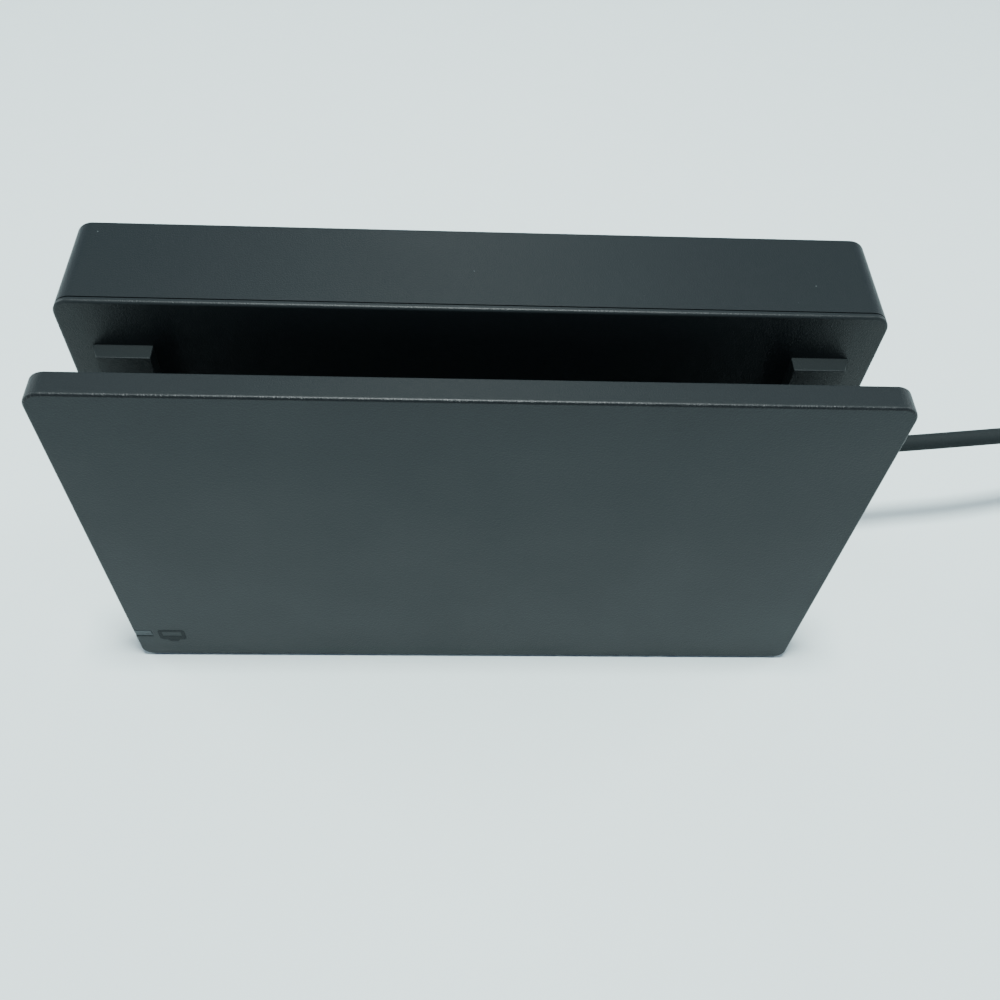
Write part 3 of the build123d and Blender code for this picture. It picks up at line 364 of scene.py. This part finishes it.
finishes = {"shell_plastic": shell}
for slot_name, dark, light, grain_size, depth, smooth, rough, shine in (
    ("inner_plastic", (0.012, 0.0125, 0.013), (0.019, 0.02, 0.021), 0.0004, 0.00004, 0.35, 0.5, 0.5),
    ("foot_rubber", (0.012, 0.012, 0.012), (0.03, 0.03, 0.03), 0.0006, 0.00012, 0.75, 0.95, 0.3),
    ("chip_resin", (0.014, 0.014, 0.015), (0.024, 0.024, 0.026), 0.0003, 0.00003, 0.4, 0.6, 0.5),
    ("cable_jacket", (0.0100, 0.0132, 0.0138), (0.0164, 0.0208, 0.0216), 0.0008, 0.00005, 0.65, 0.8, 0.15),
    ("symbol_ink", (0.0075, 0.0092, 0.0100), (0.0124, 0.0152, 0.0165), 0.00042, 0.00005, 0.6, 0.65, 0.13),
):
    finishes[slot_name] = moulded(
        slot_name.replace("_", " "), dark, light, grain_size, depth, smooth, rough, shine
    )
print("moulded finishes:", sorted(finishes))

# %% [markdown]
# ## Metals
#
# The sockets' shells are drawn from bright steel strip, which keeps fine lines along the way it was rolled. A
# noise that is stretched by a Mapping node draws them. The contacts are gilt strip with the same lines, and
# the screws are blackened steel with pale scuffs.

# %% Metals
line_depth = 0.000004


def drawn_metal(name, dark, light, stretch, smooth, rough):
    """A metal with fine lines, longest where the stretch is smallest."""
    material, tree, shader, place = start_finish(name, Metallic=1.0)
    turn = add_node(tree, "ShaderNodeMapping", {"Scale": stretch})
    lines = add_node(tree, "ShaderNodeTexNoise", {"Scale": 1.0, "Detail": 4.0, "Roughness": 0.65})
    tree.links.new(place, turn.inputs["Vector"])
    tree.links.new(turn.outputs["Vector"], lines.inputs["Vector"])
    tree.links.new(mix_colours(tree, lines.outputs["Fac"], dark, light), shader.inputs["Base Color"])
    tree.links.new(spread_values(tree, lines.outputs["Fac"], smooth, rough), shader.inputs["Roughness"])
    add_relief(tree, shader, lines.outputs["Fac"], line_depth)
    return material


finishes["port_steel"] = drawn_metal(
    "port steel", (0.42, 0.42, 0.41), (0.66, 0.66, 0.64), (6000.0, 500.0, 6000.0), 0.22, 0.42
)
finishes["screw_steel"] = drawn_metal(
    "screw steel", (0.03, 0.03, 0.032), (0.11, 0.11, 0.115), (2500.0, 2500.0, 2500.0), 0.3, 0.5
)
finishes["contact_gold"] = drawn_metal(
    "contact gold", (0.75, 0.5, 0.2), (0.92, 0.7, 0.36), (4000.0, 900.0, 4000.0), 0.18, 0.3
)
print("finishes so far:", sorted(finishes))

# %% [markdown]
# ## Ribbons and boards
#
# A ribbon is clear film over flat strips, which a wave texture draws. A circuit board is green lacquer over
# glass cloth, with copper tracks that show through it. The lines of a brick texture are close enough to
# tracks, and need no picture.


# %% Ribbons and boards
def striped(name, first, second, direction, stripes, depth, smooth, rough):
    """A finish of soft stripes, with so many stripes to a metre."""
    material, tree, shader, place = start_finish(name)
    wave = add_node(
        tree,
        "ShaderNodeTexWave",
        {"Scale": stripes * math.pi / 10, "Distortion": 0.3, "Detail": 1.0},
        bands_direction=direction,
    )
    tree.links.new(place, wave.inputs["Vector"])
    tree.links.new(mix_colours(tree, wave.outputs["Fac"], first, second), shader.inputs["Base Color"])
    tree.links.new(spread_values(tree, wave.outputs["Fac"], smooth, rough), shader.inputs["Roughness"])
    add_relief(tree, shader, wave.outputs["Fac"], depth)
    return material, tree, shader, place, wave


finishes["ribbon_film"] = striped(
    "ribbon film", (0.62, 0.58, 0.47), (0.8, 0.77, 0.68), "X", 1000, 0.00003, 0.25, 0.4
)[0]

lacquer_tone, track_tone = (0.008, 0.04, 0.02), (0.02, 0.09, 0.045)
track_depth = 0.00003
board, tree, shader, place = start_finish("board laminate")
tracks = add_node(
    tree,
    "ShaderNodeTexBrick",
    {"Scale": 260.0, "Mortar Size": 0.06, "Mortar Smooth": 0.2, "Brick Width": 1.3, "Row Height": 0.34},
)
board_turn = add_node(tree, "ShaderNodeMapping", {"Rotation": (math.radians(90.0), 0.0, 0.0)})
tree.links.new(place, board_turn.inputs["Vector"])
tree.links.new(board_turn.outputs["Vector"], tracks.inputs["Vector"])
copper = mix_colours(tree, tracks.outputs["Fac"], lacquer_tone, track_tone)
tree.links.new(copper, shader.inputs["Base Color"])
tree.links.new(spread_values(tree, tracks.outputs["Fac"], 0.3, 0.42), shader.inputs["Roughness"])
add_relief(tree, shader, tracks.outputs["Fac"], track_depth)
finishes["board_laminate"] = board
print("board nodes:", len(tree.nodes))

# %% [markdown]
# ## Light pipe
#
# The light pipe is milky plastic that ends in a slit. Unlit, the slit shows a pale band, a dark gap, a second
# pale line and a dark sill below. The light and shade on the pipe's edges make these lines. Here they are
# painted as tones by height: a painted shade for the gap, a painted highlight for the second line and a
# painted shade for the sill. At their size of a fraction of a millimetre, this is simpler than more edges.

# %% Light pipe
haze_tones = (0.062, 0.071, 0.075), (0.074, 0.084, 0.088)
# Painted light by height: a painted shade for the gap, a painted highlight for the second pale line, a painted
# shade for the sill.
painted_slit_lines = (
    (0.01205, 0.01198, (0.024, 0.028, 0.030)),
    (0.01172, 0.01165, (0.093, 0.106, 0.112)),
    (0.0108, 0.0107, (0.014, 0.017, 0.0185)),
)
milky, tree, shader, place = start_finish(
    "light plastic", Subsurface_Weight=0.2, Specular_IOR_Level=0.15
)
shader.inputs["Subsurface Radius"].default_value = (0.0002, 0.0002, 0.0002)
haze = add_node(tree, "ShaderNodeTexNoise", {"Scale": 900.0, "Detail": 2.0})
tree.links.new(place, haze.inputs["Vector"])
rise = add_node(tree, "ShaderNodeSeparateXYZ")
tree.links.new(place, rise.inputs[0])
layered = mix_colours(tree, haze.outputs["Fac"], *haze_tones)
# Each band paints the light or shade that an edge of the pipe, not modelled, would catch or cast.
for begins, full, tone in painted_slit_lines:
    below = add_node(tree, "ShaderNodeMapRange", {"From Min": begins, "From Max": full})
    tree.links.new(rise.outputs["Z"], below.inputs["Value"])
    layered = mix_colours(tree, below.outputs["Result"], layered, tone)
tree.links.new(layered, shader.inputs["Base Color"])
tree.links.new(spread_values(tree, haze.outputs["Fac"], 0.5, 0.65), shader.inputs["Roughness"])
finishes["light_plastic"] = milky
print("light pipe nodes:", len(tree.nodes))

# %% [markdown]
# ## Strap weave
#
# The strap is a plain weave: yarns that cross at right angles. Cloth could be modelled yarn by yarn, but at
# this size two waves, multiplied, give the same small bumps.

# %% Strap weave
yarns_in_metre = 1400
strap_weave, tree, shader, place, warp = striped(
    "strap fabric", (0.01, 0.01, 0.011), (0.035, 0.035, 0.037), "Z", yarns_in_metre, 0.00012, 0.8, 0.95
)
shader.inputs["Sheen Weight"].default_value = 0.25
weft = add_node(
    tree,
    "ShaderNodeTexWave",
    {"Scale": yarns_in_metre * math.pi / 10, "Distortion": 1.0},
    bands_direction="Y",
)
tree.links.new(place, weft.inputs["Vector"])
woven = add_node(tree, "ShaderNodeMath", operation="MULTIPLY")
tree.links.new(warp.outputs["Fac"], woven.inputs[0])
tree.links.new(weft.outputs["Fac"], woven.inputs[1])
tree.links.new(woven.outputs[0], tree.nodes["Bump"].inputs["Height"])
finishes["strap_fabric"] = strap_weave
print("finishes:", sorted(finishes))

# %% [markdown]
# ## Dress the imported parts
#
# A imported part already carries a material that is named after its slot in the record. The part's shape is
# right, so only that material is swapped for the finish of the same name.

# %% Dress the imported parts
for part in parts.values():
    part.data.materials[0] = finishes[part.data.materials[0].name.split(".")[0]]
print("dressed:", len(parts))

# %% [markdown]
# ## Route of the lead
#
# A thin black lead leaves the dock on its right, sags to the table and ends in a tied coil with its plug
# beside it. The free part is a few chosen points. The coil is worked out turn by turn: nine turns lie side by
# side in three columns and three layers, and each moves smoothly to its next place on the coil's left half.
# The coil's points lie a hair outside its line, because the curve that is drawn next runs inside its points.

# %% Route of the lead
cable_diameter = 0.0045
lead_route = [
    (0.0772, 0.014275, 0.038),
    (0.090, 0.0150, 0.0391),
    (0.118, 0.0186, 0.0380),
    (0.145, 0.0219, 0.0378),
    (0.171, 0.0275, 0.0345),
    (0.196, 0.0345, 0.0235),
    (0.217, 0.040, 0.010),
    (0.233, 0.043, 0.0033),
]
coil_x, coil_y = 0.245, 0.014
column_radius = (0.02025, 0.02475, 0.02925)
layer_height = (0.00285, 0.00735, 0.01185)
turn_places = [(2, 0), (1, 0), (0, 0), (0, 1), (1, 1), (0, 2), (1, 2), (2, 2), (2, 1)]
points_in_turn = 32
whole_turns = 8.5
shift_length = 0.3
first_shift, turns_to_next_shift = 0.85, 1.0 - 0.0286


def coil_place(turn):
    """Radius and height of the coil's line after so many turns."""
    column, layer = turn_places[0]
    radius, height = column_radius[column], layer_height[layer]
    for step, ((column, layer), (next_column, next_layer)) in enumerate(zip(turn_places, turn_places[1:])):
        share = (turn - first_shift - turns_to_next_shift * step) / shift_length + 0.5
        share = min(max(share, 0.0), 1.0)
        share = share * share * (3.0 - 2.0 * share)
        radius += share * (column_radius[next_column] - column_radius[column])
        height += share * (layer_height[next_layer] - layer_height[layer])
    return radius, height


coil_points = []
outward = 1.0 / math.cos(math.pi / points_in_turn)
for count in range(round(whole_turns * points_in_turn) + 1):
    turn = count / points_in_turn
    radius, height = coil_place(turn)
    angle = math.radians(90.0) - turn * math.tau
    coil_points.append(
        (coil_x + outward * radius * math.cos(angle), coil_y + outward * radius * math.sin(angle), height)
    )
tail_y = coil_y - column_radius[2]
tail_points = [
    (0.2385, tail_y, 0.00715),
    (0.232, tail_y, 0.0064),
    (0.2258, tail_y, 0.0054),
    (0.2192, tail_y, 0.0052),
]
lead_points = lead_route + coil_points + tail_points
print("lead points:", len(lead_points))

# %% [markdown]
# ## Video lead
#
# A sweep of straight pieces would look like bent wire, so the lead is one NURBS curve along the route, the
# coil and the tail, with a round section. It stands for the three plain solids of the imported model.

# %% Video lead
lead_curve = bpy.data.curves.new("video_lead", "CURVE")
lead_curve.dimensions = "3D"
lead_curve.bevel_depth = cable_diameter / 2
lead_curve.bevel_resolution = 5
lead_curve.resolution_u = 4
lead_curve.use_fill_caps = True
lead_line = lead_curve.splines.new("NURBS")
lead_line.points.add(len(lead_points) - 1)
for point, where in zip(lead_line.points, lead_points):
    point.co = (*where, 1.0)
lead_line.order_u = 3
lead_line.use_endpoint_u = True
lead_curve.materials.append(finishes["cable_jacket"])
video_lead = bpy.data.objects.new("video_lead", lead_curve)
bpy.context.collection.objects.link(video_lead)
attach(video_lead, "dock")
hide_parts("cable_lead", "cable_coil", "cable_tail")
print("lead radius in mm:", 1000 * lead_curve.bevel_depth)

# %% [markdown]
# ## Helpers for new pieces
#
# Small pieces are drawn with bmesh operators. A piece is finished when its faces point outwards, it has its
# finish and its slot, and it rides on the body that carries it.


# %% Helpers for new pieces
def finish_piece(name, shape, finish, body, smooth=True):
    """Makes an object of a bmesh, dresses it and lets it ride on a body."""
    bmesh.ops.remove_doubles(shape, verts=shape.verts, dist=1e-7)
    bmesh.ops.recalc_face_normals(shape, faces=shape.faces)
    mesh = bpy.data.meshes.new(name)
    shape.to_mesh(mesh)
    shape.free()
    if smooth:
        mesh.shade_smooth()
        mesh.set_sharp_from_angle(angle=math.radians(35.0))
    mesh.materials.append(finishes[finish])
    piece = bpy.data.objects.new(name, mesh)
    bpy.context.collection.objects.link(piece)
    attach(piece, body)
    return piece


def rounded_loop(shape, width, height, radius, segments):
    """A rounded rectangle's face in the plane of X and Y, made by bevelling the four corners of a square."""
    made = bmesh.ops.create_grid(shape, x_segments=1, y_segments=1, size=0.5)
    bmesh.ops.scale(shape, vec=(width, height, 1.0), verts=made["verts"])
    bmesh.ops.bevel(
        shape,
        geom=made["verts"],
        offset=radius,
        segments=segments,
        profile=0.5,
        affect="VERTICES",
        material=-1,
    )
    return list(shape.faces)[-1]


def raise_faces(shape, depth):
    """Extrudes all the faces of a shape along Z, and so gives a flat shape its depth."""
    made = bmesh.ops.extrude_face_region(shape, geom=shape.faces[:])["geom"]
    raised_points = [item for item in made if isinstance(item, bmesh.types.BMVert)]
    bmesh.ops.translate(shape, vec=(0.0, 0.0, depth), verts=raised_points)


# %% [markdown]
# ## Coil strap
#
# A short hook-and-loop strap holds the coil. Its section is a rounded square that just goes round the nine
# turns; spun a little way about the coil's axis it becomes a band, which then gets its thickness.

# %% Coil strap
strap_low, strap_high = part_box("cable_tie")
strap_thickness = 0.0005
strap_size = strap_high.z - strap_low.z - 2 * strap_thickness
strap_corner = 0.0021
strap_turn = math.radians(20.0)
strap = bmesh.new()
strap_face = rounded_loop(strap, strap_size, strap_size, strap_corner, 5)
bmesh.ops.delete(strap, geom=[strap_face], context="FACES_ONLY")
stand_up = Matrix.Rotation(math.radians(90.0), 4, "X")
strap_middle = Vector((coil_x + column_radius[1], coil_y, (strap_low.z + strap_high.z) / 2))
bmesh.ops.transform(strap, matrix=Matrix.Translation(strap_middle) @ stand_up, verts=strap.verts)
bmesh.ops.spin(
    strap,
    geom=strap.verts[:] + strap.edges[:],
    cent=(coil_x, coil_y, 0.0),
    axis=(0.0, 0.0, 1.0),
    angle=strap_turn,
    steps=8,
)
bmesh.ops.recalc_face_normals(strap, faces=strap.faces)
bmesh.ops.solidify(strap, geom=strap.faces, thickness=-strap_thickness)
coil_strap = finish_piece("coil_strap", strap, "strap_fabric", "dock")
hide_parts("cable_tie")
print("strap faces:", len(coil_strap.data.polygons))

# %% [markdown]
# ## Screen symbol
#
# By the status light a small picture of a screen is printed, which says that the television is in use. It is
# a frame with a foot: a rounded face, inset to leave its rim, and a small tapered face below it. Both are
# raised by the thickness of the ink.

# %% Screen symbol
front_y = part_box("front_cover")[0].y
symbol_x, symbol_z = -0.0768, 0.0112
screen_width, screen_height, screen_corner = 0.0068, 0.0048, 0.0009
frame_width, lower_bar_extra = 0.0010, 0.0007
foot_width, foot_height, foot_drop, foot_taper = 0.0034, 0.0012, 0.0029, 0.55
ink_thickness = 0.00006
symbol = bmesh.new()
screen = rounded_loop(symbol, screen_width, screen_height, screen_corner, 4)
bmesh.ops.inset_region(
    symbol, faces=[screen], thickness=frame_width, use_boundary=True, use_even_offset=True
)
lower_bar = [vert for vert in screen.verts if vert.co.y < 0.0]
bmesh.ops.translate(symbol, vec=(0.0, lower_bar_extra, 0.0), verts=lower_bar)
bmesh.ops.delete(symbol, geom=[screen], context="FACES")
foot = bmesh.ops.create_grid(symbol, x_segments=1, y_segments=1, size=0.5)["verts"]
bmesh.ops.scale(symbol, vec=(foot_width, foot_height, 1.0), verts=foot)
foot_end = [vert for vert in foot if vert.co.y < 0.0]
bmesh.ops.scale(symbol, vec=(foot_taper, 1.0, 1.0), verts=foot_end)
bmesh.ops.translate(symbol, vec=(0.0, -foot_drop, 0.0), verts=foot)
raise_faces(symbol, ink_thickness)
symbol_place = Matrix.Translation((symbol_x, front_y, symbol_z)) @ stand_up
bmesh.ops.transform(symbol, matrix=symbol_place, verts=symbol.verts)
screen_symbol = finish_piece("screen_symbol", symbol, "symbol_ink", "dock")
print("symbol faces:", len(screen_symbol.data.polygons))

# %% [markdown]
# ## Strip of painted shade in the sill
#
# Under the light pipe the front panel has a shallow sunken sill, and a strip lies in it that carries painted
# light: its lower part is a painted shade, the sill's shadow, and its upper part is the painted highlight of
# the second pale line. It runs round the corner: a rounded ring, cut by two planes so that only its corner
# is left.

# %% Strip of painted shade in the sill
panel_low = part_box("front_cover")[0]
shade_strip_reach, shade_strip_wrap = 0.00475, 0.00395
shade_strip_low, shade_strip_high = 0.01027, 0.01103
shade_strip_inset, shade_strip_depth, shade_strip_corner = 0.0001, 0.00028, 0.0006
ring_side = 0.02
shade_strip = bmesh.new()
ring = rounded_loop(shade_strip, ring_side, ring_side, shade_strip_corner, 5)
bmesh.ops.inset_region(
    shade_strip, faces=[ring], thickness=shade_strip_depth, use_boundary=True, use_even_offset=True
)
bmesh.ops.delete(shade_strip, geom=[ring], context="FACES")
ring_corner = Vector((panel_low.x + shade_strip_inset, panel_low.y + shade_strip_inset, shade_strip_low))
ring_middle = ring_corner + Vector((ring_side / 2, ring_side / 2, 0.0))
bmesh.ops.translate(shade_strip, vec=ring_middle, verts=shade_strip.verts)
for axis, cut in (
    (Vector((1.0, 0.0, 0.0)), panel_low.x + shade_strip_reach),
    (Vector((0.0, 1.0, 0.0)), panel_low.y + shade_strip_wrap),
):
    bmesh.ops.bisect_plane(
        shade_strip,
        geom=shade_strip.verts[:] + shade_strip.edges[:] + shade_strip.faces[:],
        plane_co=axis * cut,
        plane_no=axis,
        clear_outer=True,
    )
raise_faces(shade_strip, shade_strip_high - shade_strip_low)
# The strip's finish paints the sill's shade below and the second line's highlight above.
sill_shade_strip = finish_piece("sill_shade_strip", shade_strip, "light_plastic", "dock")
print("seal faces:", len(sill_shade_strip.data.polygons))

# %% [markdown]
# ## Socket contacts
#
# The tongues in the sockets carry thin gilt strips. Each strip is a bar with softened edges, half sunk in its
# tongue. A short table says where a row of strips lies, how long and wide they are, how many, and how far
# apart.

# %% Socket contacts
strip_thickness = 0.00016
strip_edge = 0.00004
strips = bmesh.new()
for centre_x, face_y, centre_z, length, width, count, pitch in (
    (0.0238, 0.01435, 0.063, 0.0076, 0.0010, 4, 0.0024),
    (-0.0803, 0.01435, 0.0348, 0.0076, 0.0010, 4, 0.0024),
    (-0.0803, 0.01435, 0.0568, 0.0076, 0.0010, 4, 0.0024),
    (0.0264, 0.0129, 0.076, 0.0036, 0.00025, 12, 0.0005),
    (0.0264, 0.0136, 0.076, 0.0036, 0.00025, 12, 0.0005),
):
    for step in range(count):
        strip_z = centre_z + (step - (count - 1) / 2) * pitch
        size = Matrix.Diagonal((length, strip_thickness, width, 1.0))
        where = Matrix.Translation((centre_x, face_y, strip_z))
        bmesh.ops.create_cube(strips, size=1.0, matrix=where @ size)
bmesh.ops.bevel(
    strips,
    geom=strips.edges[:],
    offset=strip_edge,
    segments=1,
    profile=0.5,
    affect="EDGES",
    material=-1,
)
contacts = finish_piece("socket_contacts", strips, "contact_gold", "dock", smooth=False)
print("contact faces:", len(contacts.data.polygons))

# %% [markdown]
# ## Cross-head screws
#
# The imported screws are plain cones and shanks. Here each is spun from its profile, and its head gets a cross
# recess: the cross is drawn inside the head's rim, the ring between them is filled, and the cross sinks in.

# %% Cross-head screws
head_radius, head_depth, shank_radius = 0.0023, 0.0012, 0.0011
cross_arm, cross_half_width, cross_depth, cross_taper = 0.0012, 0.0003, 0.0009, 0.75


def add_screw(screws, length, where):
    """Adds a countersunk screw whose head looks along +Z of the place."""
    shape = bmesh.new()
    profile = [(head_radius, 0.0), (shank_radius, -head_depth), (shank_radius, -length), (0.0, -length)]
    points = [shape.verts.new((radius, 0.0, height)) for radius, height in profile]
    lines = [shape.edges.new(pair) for pair in zip(points, points[1:])]
    bmesh.ops.spin(
        shape,
        geom=points + lines,
        cent=(0.0, 0.0, 0.0),
        axis=(0.0, 0.0, 1.0),
        angle=math.tau,
        steps=28,
        use_merge=True,
    )
    bmesh.ops.remove_doubles(shape, verts=shape.verts, dist=1e-6)
    head_rim = [edge for edge in shape.edges if edge.is_boundary]
    quarter = [
        (cross_half_width, cross_arm), (cross_half_width, cross_half_width), (cross_arm, cross_half_width)
    ]
    outline = []
    for turn in range(4):
        for x, y in quarter:
            outline.append(Matrix.Rotation(-turn * math.pi / 2, 3, "Z") @ Vector((x, y, 0.0)))
    corners = [shape.verts.new(point) for point in outline]
    cross = [shape.edges.new((corners[place - 1], corners[place])) for place in range(len(corners))]
    bmesh.ops.triangle_fill(shape, use_beauty=True, edges=head_rim + cross, normal=(0.0, 0.0, 1.0))
    sunk = bmesh.ops.extrude_edge_only(shape, edges=cross)["geom"]
    floor_points = [item for item in sunk if isinstance(item, bmesh.types.BMVert)]
    bmesh.ops.scale(shape, vec=(cross_taper, cross_taper, 1.0), verts=floor_points)
    bmesh.ops.translate(shape, vec=(0.0, 0.0, -cross_depth), verts=floor_points)
    bmesh.ops.holes_fill(shape, edges=[edge for edge in shape.edges if edge.is_boundary], sides=0)
    bmesh.ops.transform(shape, matrix=where, verts=shape.verts)
    made = bpy.data.meshes.new("screw")
    shape.to_mesh(made)
    shape.free()
    screws.from_mesh(made)
    bpy.data.meshes.remove(made)


turned_back = Matrix.Rotation(math.radians(-90.0), 4, "X")
turned_down = Matrix.Rotation(math.radians(180.0), 4, "X")
rear_screw_length, rear_head_y = 0.010, 0.0228
base_screw_length, base_head_z = 0.008, 0.0003
housing_screws, base_screws = bmesh.new(), bmesh.new()
for x in (-0.0715, 0.0234, 0.0715):
    for z in (0.0073, 0.0975):
        head_place = Matrix.Translation((x, rear_head_y, z)) @ turned_back
        add_screw(housing_screws, rear_screw_length, head_place)
for x in (-0.0805, 0.0805):
    for y in (-0.01795, -0.00795):
        head_place = Matrix.Translation((x, y, base_head_z)) @ turned_down
        add_screw(base_screws, base_screw_length, head_place)
for name, shape, node in (
    ("cross_screws_rear", housing_screws, "housing_screws"),
    ("cross_screws_base", base_screws, "base_screws"),
):
    piece = finish_piece(name, shape, "screw_steel", "dock")
    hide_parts(node)
    print(name, "faces:", len(piece.data.polygons))

# %% [markdown]
# ## Table
#
# The dock stands on a plain pale sheet. One flat square is enough, with a little of the paper's fibre in its
# tone. It is only a stage, so it isn't part of the object.

# %% Table
sheet_reach = 1.3
sheet = bmesh.new()
bmesh.ops.create_grid(sheet, x_segments=1, y_segments=1, size=sheet_reach)
sheet_mesh = bpy.data.meshes.new("table")
sheet.to_mesh(sheet_mesh)
sheet.free()
paper, tree, shader, place = start_finish("pale paper", Roughness=0.7, Specular_IOR_Level=0.2)
fibre = add_node(tree, "ShaderNodeTexNoise", {"Scale": 90.0, "Detail": 4.0})
tree.links.new(place, fibre.inputs["Vector"])
paper_tone = mix_colours(tree, fibre.outputs["Fac"], (0.79, 0.885, 0.875), (0.81, 0.905, 0.895))
tree.links.new(paper_tone, shader.inputs["Base Color"])
sheet_mesh.materials.append(paper)
table = bpy.data.objects.new("table", sheet_mesh)
bpy.context.collection.objects.link(table)
print("table reaches in m:", sheet_reach)

# %% [markdown]
# ## Light
#
# The light is broad and soft. A panel overhead lights the tops and the sheet, and the sheet lights the front
# face from below. A weak panel behind puts a sheen on the middle of the tops. Panels at the sides and low in
# front fill the ends of the slot and the front face.

# %% Light
aim = Vector((0.0, 0.0, 0.05))
cool = (0.9, 1.0, 0.985)


def add_panel(name, where, size, watts):
    """A square soft panel that looks at the dock."""
    panel = bpy.data.lights.new(name, "AREA")
    panel.shape = "SQUARE"
    panel.size = size
    panel.energy = watts
    panel.color = cool
    lamp = bpy.data.objects.new(name, panel)
    lamp.location = where
    lamp.rotation_euler = (aim - Vector(where)).to_track_quat("-Z", "Y").to_euler()
    bpy.context.collection.objects.link(lamp)


add_panel("overhead panel", (0.0, -0.05, 1.0), 0.15, 20.0)
add_panel("back panel", (0.0, 0.62, 0.63), 0.25, 0.8)
for hand, sign in (("left", -1.0), ("right", 1.0)):
    add_panel(f"{hand} panel", (0.9 * sign, 0.3, 0.5), 0.5, 5.0)
    add_panel(f"{hand} front panel", (0.7 * sign, -0.7, 0.25), 0.4, 1.2)
print("lights:", [item.name for item in bpy.data.lights])

# %% [markdown]
# ## Backdrop
#
# Beyond the sheet the camera sees a pale backdrop, as in a small photo studio. As light it would wash out the
# dark slot, so all other rays get a dim blue instead, which cools the shadows a little.

# %% Backdrop
sky = bpy.data.worlds.new("pale sky")
sky.use_nodes = True
sky_tree = sky.node_tree
dim = sky_tree.nodes["Background"]
dim.inputs["Color"].default_value = (0.2, 0.6, 1.6, 1.0)
dim.inputs["Strength"].default_value = 0.1
backdrop = add_node(
    sky_tree, "ShaderNodeBackground", {"Color": (0.62, 0.68, 0.68, 1.0), "Strength": 1.0}
)
seen = add_node(sky_tree, "ShaderNodeLightPath")
chosen = add_node(sky_tree, "ShaderNodeMixShader")
sky_tree.links.new(seen.outputs["Is Camera Ray"], chosen.inputs[0])
sky_tree.links.new(dim.outputs[0], chosen.inputs[1])
sky_tree.links.new(backdrop.outputs[0], chosen.inputs[2])
sky_tree.links.new(chosen.outputs[0], sky_tree.nodes["World Output"].inputs["Surface"])
bpy.context.scene.world = sky
print("backdrop nodes:", len(sky_tree.nodes))
